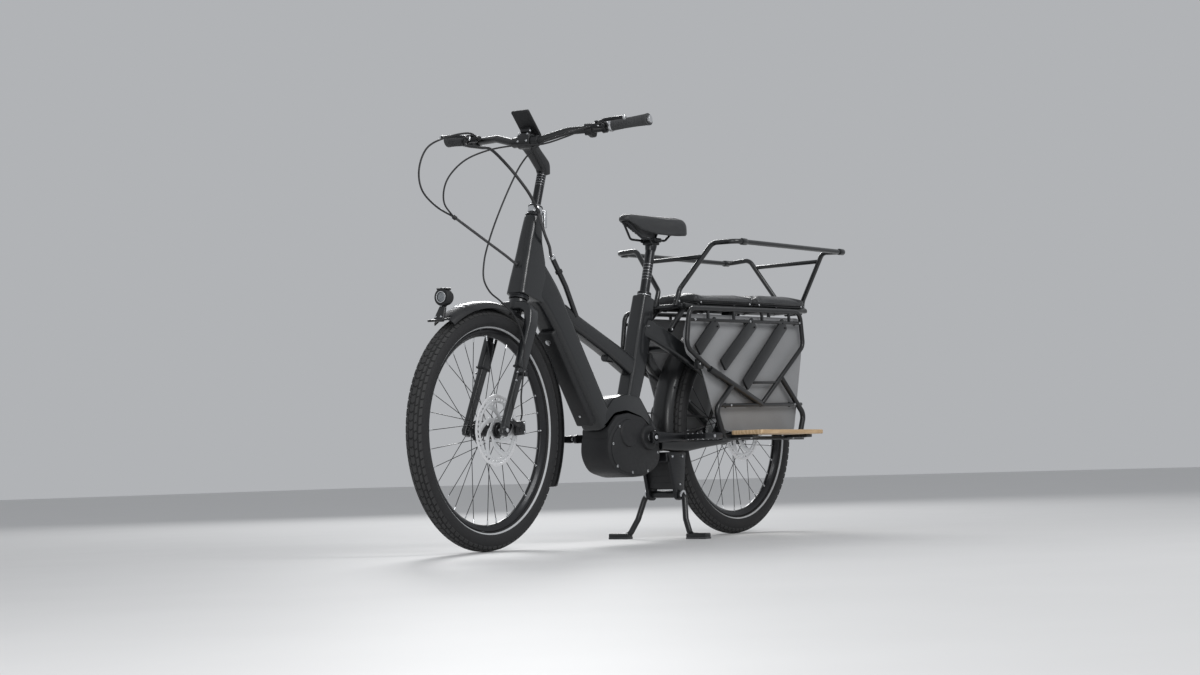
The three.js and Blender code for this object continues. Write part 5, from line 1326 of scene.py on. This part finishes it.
# Blown cushion, its points moved to new ones, smoothed and given its body, node and fill
def finishCushion(cushion, points, body, node):
    mesh = cushion.data
    mesh.vertices.foreach_set("co", points.astype(np.float32).ravel())
    mesh.update()
    mesh.shade_smooth()
    mesh.materials.clear()
    mesh.materials.append(looks["vinyl"])
    fine = cushion.modifiers.new("smooth", "SUBSURF")
    fine.levels = fine.render_levels = 1
    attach(cushion, body)
    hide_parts(node)


# Remeshed blank blown by cloth pressure with its base held; the movement of each point is capped
def puffed(name, rows, limit, hold, voxel, caps="fan"):
    blank = Shape().skin(rows, "vinyl", caps).build(name + "Blank", "bike", onBike)
    remesh = blank.modifiers.new("even", "REMESH")
    remesh.mode, remesh.voxel_size = "VOXEL", voxel
    graph = bpy.context.evaluated_depsgraph_get()
    mesh = bpy.data.meshes.new_from_object(blank.evaluated_get(graph))
    bpy.data.objects.remove(blank)
    cushion = bpy.data.objects.new(name, mesh)
    bpy.context.scene.collection.objects.link(cushion)
    start = readPoints(mesh)
    held = hold(start)
    pins = cushion.vertex_groups.new(name="held")
    for weight in (0.25, 0.5, 0.75, 1.0):
        chosen = np.nonzero(np.abs(held - weight) < 0.125)[0]
        pins.add([int(k) for k in chosen], weight, "REPLACE")
    cloth = cushion.modifiers.new("cloth", "CLOTH")
    cloth.settings.quality = 5
    cloth.settings.mass = 0.3
    cloth.settings.tension_stiffness = cloth.settings.compression_stiffness = 14
    cloth.settings.bending_stiffness = 0.6
    cloth.settings.use_pressure = True
    cloth.settings.uniform_pressure_force = load["pressure"]
    cloth.settings.vertex_group_mass = "held"
    cloth.settings.effector_weights.gravity = 0
    cloth.point_cache.frame_start, cloth.point_cache.frame_end = 1, 20
    for step in range(1, 21):
        bpy.context.scene.frame_set(step)
    graph = bpy.context.evaluated_depsgraph_get()
    move = readPoints(cushion.evaluated_get(graph).to_mesh()) - start
    size = np.linalg.norm(move, axis=1)[:, None]
    end = start + move * np.minimum(1, limit / np.maximum(size, 1e-9))
    cushion.modifiers.remove(cloth)
    mesh.vertices.foreach_set("co", end.astype(np.float32).ravel())
    bpy.context.scene.frame_set(1)
    cushion.vertex_groups.clear()
    return cushion


def padHold(points):  # base and the seam line are held, the rest is free
    drawing = points * 1000 - bike["shift"]
    level = drawing[:, 2] - load["padBase"] - rise(drawing[:, 0])
    return np.where(level < 5, 1.0, np.where(level < 9, 0.5, 0.0))


def finishPad(cushion, node, front, topAt):
    points = readPoints(cushion.data)
    spot = points * 1000 - bike["shift"]
    base = load["padBase"] + rise(spot[:, 0])
    level = spot[:, 2] - base
    # Groove under the top's edge and ribs of 1.3 mm, 5.2 mm apart, across the front face
    tops = topAt(spot[:, 0]) - base
    groove = 1.8 * np.exp(-((level - tops * 0.62) / 1.8) ** 2) * (np.abs(spot[:, 1]) > 60)
    ribs = 1.3 * (0.5 + 0.5 * np.cos(level * 2 * math.pi / 5.2)) * (spot[:, 0] > front - 9) * (front > 0)
    points[:, 1] -= np.sign(spot[:, 1]) * groove / 1000
    points[:, 0] -= ribs / 1000
    finishCushion(cushion, points, "bike", node)


def frontTop(x):
    lip = 13 * np.maximum(0, 1 - (load["padFront"] - x) / 70) ** 1.5
    return 771 + lip + 15 * np.maximum(0, 217 - x) / (217 - load["padSeam"])


def rearTop(x):
    return 786 + 10 * (load["padSeam"] - x) / (load["padSeam"] - load["padRear"])


def seatPads():
    for name, node, front, rear, topAt in (
            ("padFront", "seat_pad_front", load["padFront"] - 1, load["padSeam"] + 3, frontTop),
            ("padRear", "seat_pad_rear", load["padSeam"] - 3, load["padRear"] + 1, rearTop)):
        cushion = puffed(name, padBlank(front, rear, topAt), load["slack"], padHold, 0.0052)
        finishPad(cushion, node, front, topAt)
        # Piping round the pad, level with the groove's lower side
        edge = Shape()
        outline = [(front - 1.5, -78), (front - 1.5, 78), (rear + 1.5, 78), (rear + 1.5, -78)]
        x, y = evenly(roundSection(outline, 26, 10), 180).T
        x = np.clip(x, rear + 0.6, front - 0.6)
        path = np.column_stack([x, y, load["padBase"] + rise(x) + 9.5])
        bead(edge, path, (0, 0, 1), 1.9, 10, "vinyl")
        edge.build(name + "Piping", "bike", onBike)
    board = Shape()
    for front, rear in ((load["padFront"] - 3, load["padSeam"] + 5),
                        (load["padSeam"] - 5, load["padRear"] + 3)):
        middle = (front + rear) / 2
        block(board, (middle, 0, load["padBase"] + rise(middle) - 0.6), (front - rear, 148, 4), "plastic",
              1.6, turnY(load["slope"]).T)
        for x in (front - 24, rear + 24):
            for side in (1, -1):
                bolt(board, (x, side * 76.5, load["padBase"] + rise(x) + 1.5), (0, side, 0), 3.4, 3)
    board.build("padBoards", "bike", onBike)


seatPads()
print("pads made")

# Seat
seat = {"post": 15.4, "head": -178.0, "rail": 22.0, "puff": 0.006}
seatUp = onSeatAxis(-1) - onSeatAxis(0)


def seatpost():
    body = Shape()
    low, high = onSeatAxis(150), onSeatAxis(seat["head"])
    rod(body, low, high, seat["post"], "alloy", 40, 1.2)
    for mark in range(6):
        collar(body, onSeatAxis(-60 - mark * 10), seatUp, 15.0, 15.5, 0.8, "bright", 40, 0.2)
    spindle(body, onSeatAxis(-156), seatUp, [(0, 15.5), (6, 17), (18, 19), (24, 18)], "alloy", 40)
    block(body, high + (0, 0, 4), (44, 38, 10), "alloy", 4)
    block(body, high + (0, 0, 17), (38, 40, 7), "alloy", 3)
    for end in (-1, 1):
        bolt(body, high + (end * 15, 0, 20), (0, 0, 1), 4.5, 4)
    for side in (1, -1):
        collar(body, high + (-19, side * seat["rail"], 14), (1, 0, 0), 3.9, 7.2, 38, "alloy", 24, 1.2)
    body.build("seatpost", "seat", onBike, ["seatpost"])
    wires = Shape()
    level = high[2] + 14
    for side in (1, -1):
        y = side * seat["rail"]
        corners = [(560, side * 8, 994), (505, y, level), (380, y, level), (334, side * 34, 988)]
        path = bentPath(corners, 24, 9)
        tube(wires, path, 3.7, "alloy", 18, 0.8)
    block(wires, (557, 0, 995), (10, 24, 7), "plastic", 2.5)
    block(wires, (338, 0, 990), (10, 78, 8), "plastic", 3)
    wires.build("saddleRails", "seat", onBike, ["saddle_rails"])


# Saddle stations: x, half width, top height, edge height; smoothed along
saddlePlan = [(579, 8, 1006, 999), (568, 19, 1016, 995), (535, 22.5, 1021, 985), (488, 27, 1022, 969),
              (440, 39.5, 1022, 960), (400, 56, 1022, 957), (365, 69, 1023, 957), (332, 74, 1023, 960),
              (320, 67, 1017, 966), (313, 48, 1008, 977)]


# Saddle shell: its outer skin is y = w |sin f|^0.8, z = edge + h (cos f)^0.42 for f from -90 to 90 degrees,
# and the hollow under it is the same curve, narrower and lower, flat at both ends
def saddle():
    line = smoothPath([(x, half, top) for x, half, top, _ in saddlePlan], 6)
    back, halves, tops, edges = np.array(saddlePlan, float).T * [[-1], [1], [1], [1]]
    edge = np.interp(-line[:, 0], back, edges)
    share = np.linspace(0, 1, len(line))
    f = np.linspace(-0.5, 0.5, 21) * math.pi
    sideway, up = np.sign(f) * np.abs(np.sin(f)) ** 0.8, np.cos(f) ** 0.42
    up[[0, -1]] = 0
    hollow = np.clip(np.minimum(share / 0.08, (1 - share) / 0.12), 0, 1)
    roof = np.maximum(line[:, 2] - 19 - edge, 0.5) * hollow
    inside = np.maximum(line[:, 1] * 0.86 - 2, line[:, 1] * 0.6)
    y = np.hstack([line[:, 1:2] * sideway, (inside[:, None] * sideway)[:, ::-1]])
    z = edge[:, None] + np.hstack([(line[:, 2] - edge)[:, None] * up, (roof[:, None] * up)[:, ::-1]])
    rows = np.stack([line[:, :1] + 0 * z, y, z], -1)
    crest = lambda points: np.interp(-(points[:, 0] * 1000 - bike["shift"][0]), back, tops)
    hold = lambda points: np.where(points[:, 2] * 1000 < crest(points) - 13, 1.0, 0.0)
    cushion = puffed("saddle", rows, seat["puff"], hold, 0.0046, "strip")
    points = readPoints(cushion.data)
    x, y, z = (points * 1000 - bike["shift"]).T
    channel = 3.2 * np.exp(-(y / 7) ** 2) * np.clip((x - 322) / 20, 0, 1) * np.clip((560 - x) / 30, 0, 1)
    stitch = 0.9 * np.exp(-((np.abs(y) - np.interp(-x, back, halves * 0.72)) / 1.6) ** 2)
    points[:, 2] -= (channel + stitch) * (z > 1008) / 1000
    finishCushion(cushion, points, "seat", "saddle")


seatpost()
saddle()
print("seat made")

# Cockpit and fork, drawn forward, left and up the steering axis
barLine = np.array([(102, 44, 208), (80, 128, 240), (46, 212, 256), (28, 362, 281)], float)


def onBar(side, y):
    point = np.array([np.interp(y, barLine[:, 1], barLine[:, k]) for k in range(3)])
    low, high = barLine[:2, 1]
    if y < low:
        point = barLine[0] + (barLine[1] - barLine[0]) * (y - low) / (high - low)
    return point * (1, side, 1)


forkPlan = {"blade": 65.0}


def fork():
    body = Shape()
    rod(body, (0, 0, -252), (0, 0, -284), 26, "paint", 40, 3)
    spindle(body, (0, 0, -264), (0, 0, 1), [(0, 15.5), (309, 15.5), (310, 14.5), (310, 13.2)], "bright", 36)
    for side in (1, -1):
        blade = side * forkPlan["blade"]
        boxTube(body, [
            (0, 0, -276, 24, 15, 10), (2, side * 34, -277, 24, 15, 10), (4, side * 56, -292, 23, 14, 10),
            (6, side * 64, -330, 22, 12.5, 9), (20, blade, -472, 20, 11.6, 8)], "paint", 70, 5, 3, 8,
                deepAxis=(1, 0, 0))
        boxTube(body, [
            (19, blade, -456, 15.6, 9.4, 8), (hubForward, blade, hubUp + 26, 13.6, 8.6, 7),
            (hubForward, blade, hubUp + 10, 15, 9, 6), (hubForward, blade, hubUp - 16, 14, 8, 6)],
                "paint", 60, 3, 3, 8, deepAxis=(1, 0, 0))
        block(body, (20, blade, -470), (42, 25, 7), "alloy", 3)
        for y, profile, finish, sides in (
                (70, [(0, 14), (3, 14), (4.5, 12.5), (4.5, 6)], "alloy", 32),
                (73, [(0, 6), (4, 6), (5, 5), (5, 3), (3, 2.4)], "bright", 24)):
            spindle(body, (hubForward, side * y, hubUp), (0, side, 0), profile, finish, sides)
        for up in (150, 174):
            bolt(body, (hubForward - 2, side * 73, hubUp + up), (0, side, 0), 3.4, 2.4)
    rod(body, (hubForward, -72, hubUp), (hubForward, 72, hubUp), 6, "bright", 24)
    # Hose clip on the left blade
    collar(body, (26, 92, -486), (-0.3, 0, -1), 2.6, 5, 12, "plastic", 20, 0.6)
    block(body, (24, 82, -490), (8, 16, 9), "plastic", 2)
    body.build("fork", "steering", onFork, ["fork"])


def frontMudguard():
    body = Shape()
    slope = math.pi / 2 - lean
    hub = np.array([hubForward, 0, hubUp])
    guardSkin(body, hub, math.radians(57) - slope, math.radians(207) - slope, guard["frontHalf"],
              lambda t: guard["front"] + 0 * t)
    block(body, (4, 0, -296), (26, 30, 16), "satin", 3)
    for count, ease, *stations in (
            (24, 2, (314, 0, -429, 3, 24, 2.6), (346, 0, -445, 3, 18, 2.6), (374, 0, -458, 3, 10, 2.6)),
            (16, 1, (338, 0, -445, 5, 17, 3), (334, 0, -422, 5, 14, 3), (331, 0, -400, 5, 10, 3))):
        boxTube(body, stations, "satin", count, ease)
    for y in (-9, 9):
        bolt(body, (342, y, -434), (1, 0, 0.1), 3.2, 2.2)
    # Two bright bands over the crown where the tip's stay is fixed
    for degrees in (70, 73.4):
        t = np.radians(degrees + np.array([-0.55, -0.4, 0.4, 0.55])) - slope
        y = np.linspace(-20, 20, 15)[:, None]
        drop = guard["depth"] * (1 - np.cos(np.arcsin(y / guard["frontHalf"]))) ** 1.25
        radius = guard["front"] + 0.5 - drop + (-1.2, 0.9, 0.9, -1.2)
        body.skin(roundY(radius, y, t) + hub, "bright", "face")
    body.build("frontMudguard", "steering", onFork, ["front_mudguard"])


def headlamp():
    slope = math.pi / 2 - lean
    way = np.array([math.cos(slope), 0, -math.sin(slope)])
    centre = np.array([328, 0, -371.0])
    body = Shape()
    shell = [(0, 8), (0, 15), (1.5, 17.5), (4, 19.5), (8, 21.8), (17, 23.6), (26, 24), (32, 24), (32, 21)]
    spindle(body, centre - way * 15, way, shell, "plastic", 48)
    bezel = [(0, 22), (0, 24.2), (4, 24.6), (7, 23.8), (8, 22.4), (8, 16), (5, 14.5), (0, 14.5)]
    spindle(body, centre + way * 13, way, bezel, "plastic", 48, "loop")
    collar(body, centre + way * 21.6, way, 13.6, 16.2, 1.8, "bright", 48, 0.6)
    dome = [(0, 6), (2, 12), (10, 14.4), (15, 14.4), (17, 11), (18.6, 6), (19, 2)]
    spindle(body, centre + way * 4, way, dome, "lens", 48)
    # Hood over the lamp with a bright top face
    top = centre + (7, 0, 21.5)
    boxTube(body, [(*(top - way * 6), 3.4, 15, 3), (*(top + way * 20), 2.6, 17, 2.4)], "alloy", 18, 1, 1,
            deepAxis=(0.31, 0, 0.95))
    for k in range(3):
        collar(body, centre - way * (10 - k * 5), way, 17, 20.4 + k * 0.9, 2, "plastic", 44, 0.6)
    block(body, centre + (2, 0, -22.9), (16, 14, 7), "plastic", 2.5)
    body.build("headlamp", "lamp", onFork, ["front_light"])


def stemPieces():
    body = Shape()
    rod(body, (0, 0, -72), (0, 0, 172), 14.1, "alloy", 36, 1.2)
    boxTube(body, [(-12, 0, 151, 18, 16.5, 12), (3, 0, 175, 22, 18, 12), (50, 0, 192, 19, 18, 11),
                   (84, 0, 204, 18, 20, 9), (100, 0, 208, 20, 23, 8)], "satin", 44, 2, 2.5, 8)
    collar(body, (102, -23, 208), (0, 1, 0), 15.6, 21.5, 46, "satin", 48, 2.2)
    block(body, (119, 0, 212), (8, 42, 30), "satin", 3)
    for y in (-15, 15):
        for up in (-11, 11):
            bolt(body, (122, y, 212 + up), (1, 0, 0.2), 3.6, 3)
    bolt(body, (-16, 0, 168), (-1, 0, 0.6), 5, 3)
    for k in range(5):
        collar(body, (0, 0, 112 + k * 8), (0, 0, 1), 13.8, 14.2, 0.6, "bright", 36, 0.1)
    body.build("stem", "stem", onFork, ["stem"])
    ring = Shape()
    collar(ring, (0, 0, 22.6), (0, 0, 1), 15.9, 21, 23.4, "bright", 48, 2)
    collar(ring, (0, 0, 40), (0, 0, 1), 16, 22, 4, "alloy", 48, 0.8)
    block(ring, (-25, 0, 34), (14, 22, 18), "bright", 3)
    rod(ring, (-26, -16, 34), (-26, 10.6, 34), 4, "bright", 20)
    spindle(ring, (-26, -16, 34), (0, 1, 0), [(0, 6), (1, 7), (4, 7), (5, 6)], "alloy", 24)
    ring.build("stemCollar", "steering", onFork, ["stem_collar"])
    lever = Shape()
    rod(lever, (-26, 11.2, 34), (-26, 20, 34), 8, "bright", 28, 1.5)
    boxTube(lever, [(-26, 17, 42, 6, 4, 3), (-30, 20, 14, 7.5, 3.6, 3), (-35, 22, -12, 6, 4, 3)], "bright",
            26, 2, 2, 5)
    lever.build("stemCollarLever", "collar_lever", onFork, ["stem_collar_lever"])


def handlebar():
    body = Shape()
    path = bentPath([*(barLine * (1, -1, 1))[::-1], *barLine], 62, 12)
    tube(body, path, 11.1, "satin", 28, 1.2)
    rod(body, (102, -46, 208), (102, 46, 208), 15.6, "satin", 36, 3)
    body.build("handlebar", "stem", onFork, ["handlebar"])


# Grip: ribbed barrel that widens into a wing at its outer end; ribs are raised sine waves on the radius
def grip(side):
    inner = 246 if side > 0 else 277
    spots, *sizes = np.array([
        (inner, 15.4, 15.4, 0), (292, 15.2, 15, -1), (325, 17, 15, -3), (348, 20, 15.4, -5),
        (360, 22, 17, -6), (366, 22, 17.5, -6), (369, 19, 14, -6)]).T
    y = np.linspace(inner, 369, 90)
    deep, thick, back = (np.interp(y, spots, values) for values in sizes)
    for values in (deep, thick, back):
        settle(values, 6)
    rib = 0.5 * np.clip(np.sin(y * 2 * math.pi / 5.0) * 2, -1, 1) * (y > inner + 8) * (y < 350)
    t = fullTurn(36)
    u, v = np.cos(t), np.sin(t)
    centres = np.array([onBar(side, k) for k in y]) + np.column_stack([back, 0 * y, 0 * y])
    rows = centres[:, None] + np.stack(np.broadcast_arrays(
        (deep + rib)[:, None] * u, 0, (thick + rib)[:, None] * v * (1 - 0.12 * (u < 0) * np.abs(u))), -1)
    body = Shape()
    body.skin(rows, "rubber")
    way = onBar(side, 300) - onBar(side, 280)
    collar(body, onBar(side, inner - 1), way, 11.3, 17.6, 8, "bright" if side > 0 else "alloy", 40, 1.2)
    bolt(body, onBar(side, inner + 3) + (0, 0, -16), (0, 0, -1), 2.6, 2)
    spindle(body, onBar(side, 362) + (-5, 0, 0), way * side,
            [(0, 11), (6.4, 11.6), (8, 10.6), (8.4, 8), (8.4, 3)], "bright", 32)
    body.buildSide(side, "grip", "grip_", onFork, "stem")


def brakeControl(side):
    arm = onBar(side, 229)
    body = Shape()
    collar(body, onBar(side, 222), onBar(side, 236) - onBar(side, 222), 11.3, 16.6, 14, "alloy", 40, 1.6)
    cylinder = arm + (28, 0, -8)
    spindle(body, cylinder - (0, side * 24, 0), (0, side, 0),
            [(0, 6), (1, 8), (8, 9.4), (34, 9.8), (36, 8.8), (36, 5)], "alloy", 32)
    block(body, arm + (15, 0, -5), (24, 12, 14), "alloy", 3)
    block(body, arm + (28, side * 1, 3), (19, 30, 6), "plastic", 2.2)
    for y in (-10, 10):
        bolt(body, arm + (28, y, 5.6), (0, 0, 1), 2.2, 1.6)
    bolt(body, arm + (12, 0, 4), (0, 0, 1), 3, 3)
    rod(body, arm + (37, side * 2.5, -14), arm + (37, side * 2.5, -1), 3.4, "bright", 20)
    spindle(body, cylinder - (0, side * 23, 0), (0, -side, 0),
            [(0, 5), (1, 5.4), (5, 5.4), (6, 4.2), (12, 3.6), (13, 2.8)], "plastic", 24)
    body.buildSide(side, "brakeBody", "brake_body_", onFork, "stem")
    blade = Shape()
    x, z = arm[0], arm[2]
    boxTube(blade, [
        (x + 38, side * 232, z - 8, 5, 3.4, 3), (x + 50, side * 242, z - 8, 5, 3.4, 3),
        (x + 57, side * 262, z - 7, 5, 4, 3), (x + 55, side * 300, z - 4, 5, 5, 3),
        (x + 52, side * 326, z - 2, 5.4, 6, 4)], "alloy", 50, 3, 2, 5)
    # The bright metal tip at the blade's end is a painted highlight on the dark lever
    spindle(blade, (x + 52, side * 322, z - 2), (-0.08, side, 0.06), [(0, 5), (3, 6.6), (8, 6.6), (10, 4.6)],
            "bright", 24)
    blade.buildSide(side, "brakeLever", "brake_lever_", onFork)


def controls():
    centre = onBar(1, 190)
    body = Shape()
    way = onBar(1, 200) - onBar(1, 178)
    collar(body, onBar(1, 173), way, 11.2, 17, 22, "plastic", 36, 1.6)
    block(body, centre + (-13, -6, 2), (34, 24, 34), "plastic", 7)
    block(body, centre + (-18, 1, 15), (27, 28, 11), "plastic", 4)
    collar(body, centre + (-20, 1, 19.4), (0, 0, 1), 9.6, 11.6, 2, "bright", 36, 0.6)
    block(body, centre + (-30, -4, -6), (6, 12, 7), "bright", 2)
    body.build("controlRemote", "stem", onFork, ["control_remote"])
    rocker = Shape()
    block(rocker, centre + (-20, 1, 22.3), (16, 20, 6.6), "plastic", 3)
    for end in (-1, 1):
        block(rocker, centre + (-20, 1 + end * 5.6, 25.6), (6, 1.6, 1.0), "bright", 0.4)
    rocker.build("remoteRocker", "remote_rocker", onFork, ["remote_rocker"])
    twist = Shape()
    start, end = onBar(-1, 248), onBar(-1, 272)
    y = np.linspace(0, 1, 30)
    t = fullTurn(96)
    line = unit(end - start)
    side = squareTo(line)
    other = np.cross(line, side)
    ribs = 0.55 * np.clip(np.cos(t * 16) * 2, -1, 1) * ((y > 0.15) & (y < 0.9))[:, None]
    radius = (17.6 - 1.6 * y)[:, None] + ribs
    rows = start + (end - start) * y[:, None, None] + radius[..., None] * (
        side * np.cos(t)[:, None] + other * np.sin(t)[:, None])
    twist.skin(rows, "rubber")
    twist.build("twistShifter", "twist_shifter", onFork, ["twist_shifter"])


def display():
    axes = turnY(27)
    at = lambda x, y, z: (113, 0, 257) + np.array([x, y, z]) @ axes
    body = Shape()
    for x, z, size, finish, soft in (
            (-7, 0, (120, 62, 10), "plastic", 4.4), (-2, 4.3, (104, 54, 2.2), "glass", 0.9),
            (-59, 4.6, (9, 22, 2.6), "bright", 1.2), (-8, -11, (13, 26, 14), "plastic", 3)):
        block(body, at(x, 0, z), size, finish, soft, axes)
    rod(body, at(-8, -15, -17.5), at(-8, 15, -17.5), 7.2, "plastic", 28, 1)
    for y in (-15.4, 15.4):
        bolt(body, at(-8, y, -17.5), (0, math.copysign(1, y), 0), 4, 1.6)
    body.build("display", "display", onFork, ["display"])


fork()
frontMudguard()
headlamp()
stemPieces()
handlebar()
for side in (1, -1):
    grip(side)
    brakeControl(side)
controls()
display()
print("cockpit made")

# Floor and light
floorMesh = bpy.data.meshes.new("floor")
floorMesh.from_pydata([(-30, -30, 0), (30, -30, 0), (30, 30, 0), (-30, 30, 0)], [], [(0, 1, 2, 3)])
floorLook = Look("floorLook")
cloudy = floorLook.between(floorLook.speckle(3.0, 3.0), (0.63, 0.63, 0.63), (0.67, 0.67, 0.67))
floorMesh.materials.append(floorLook.finish(cloudy, 0.55))
floor = bpy.data.objects.new("floor", floorMesh)
bpy.context.scene.collection.objects.link(floor)

world = bpy.data.worlds.new("studio")
world.use_nodes = True
sky = world.node_tree.nodes["Background"]
sky.inputs["Color"].default_value, sky.inputs["Strength"].default_value = (0.80, 0.82, 0.85, 1), 0.55
bpy.context.scene.world = world


def softLight(name, place, aim, size, power):
    data = bpy.data.lights.new(name, "AREA")
    data.shape, data.size, data.energy = "SQUARE", size, power
    lamp = bpy.data.objects.new(name, data)
    back = unit(np.subtract(place, aim))
    right = unit(np.cross((0, 0, 1), back))
    setUp(lamp, right, np.cross(back, right), back, place)


softLight("key", (0.6, 3.4, 3.4), (0, 0, 0.5), 1.8, 70)
softLight("fill", (4.4, 2.6, 1.8), (0, 0, 0.5), 1.6, 46)
softLight("rim", (-3.2, -3.0, 3.0), (0, 0, 0.6), 1.6, 90)
bpy.context.scene.view_settings.view_transform = "Standard"
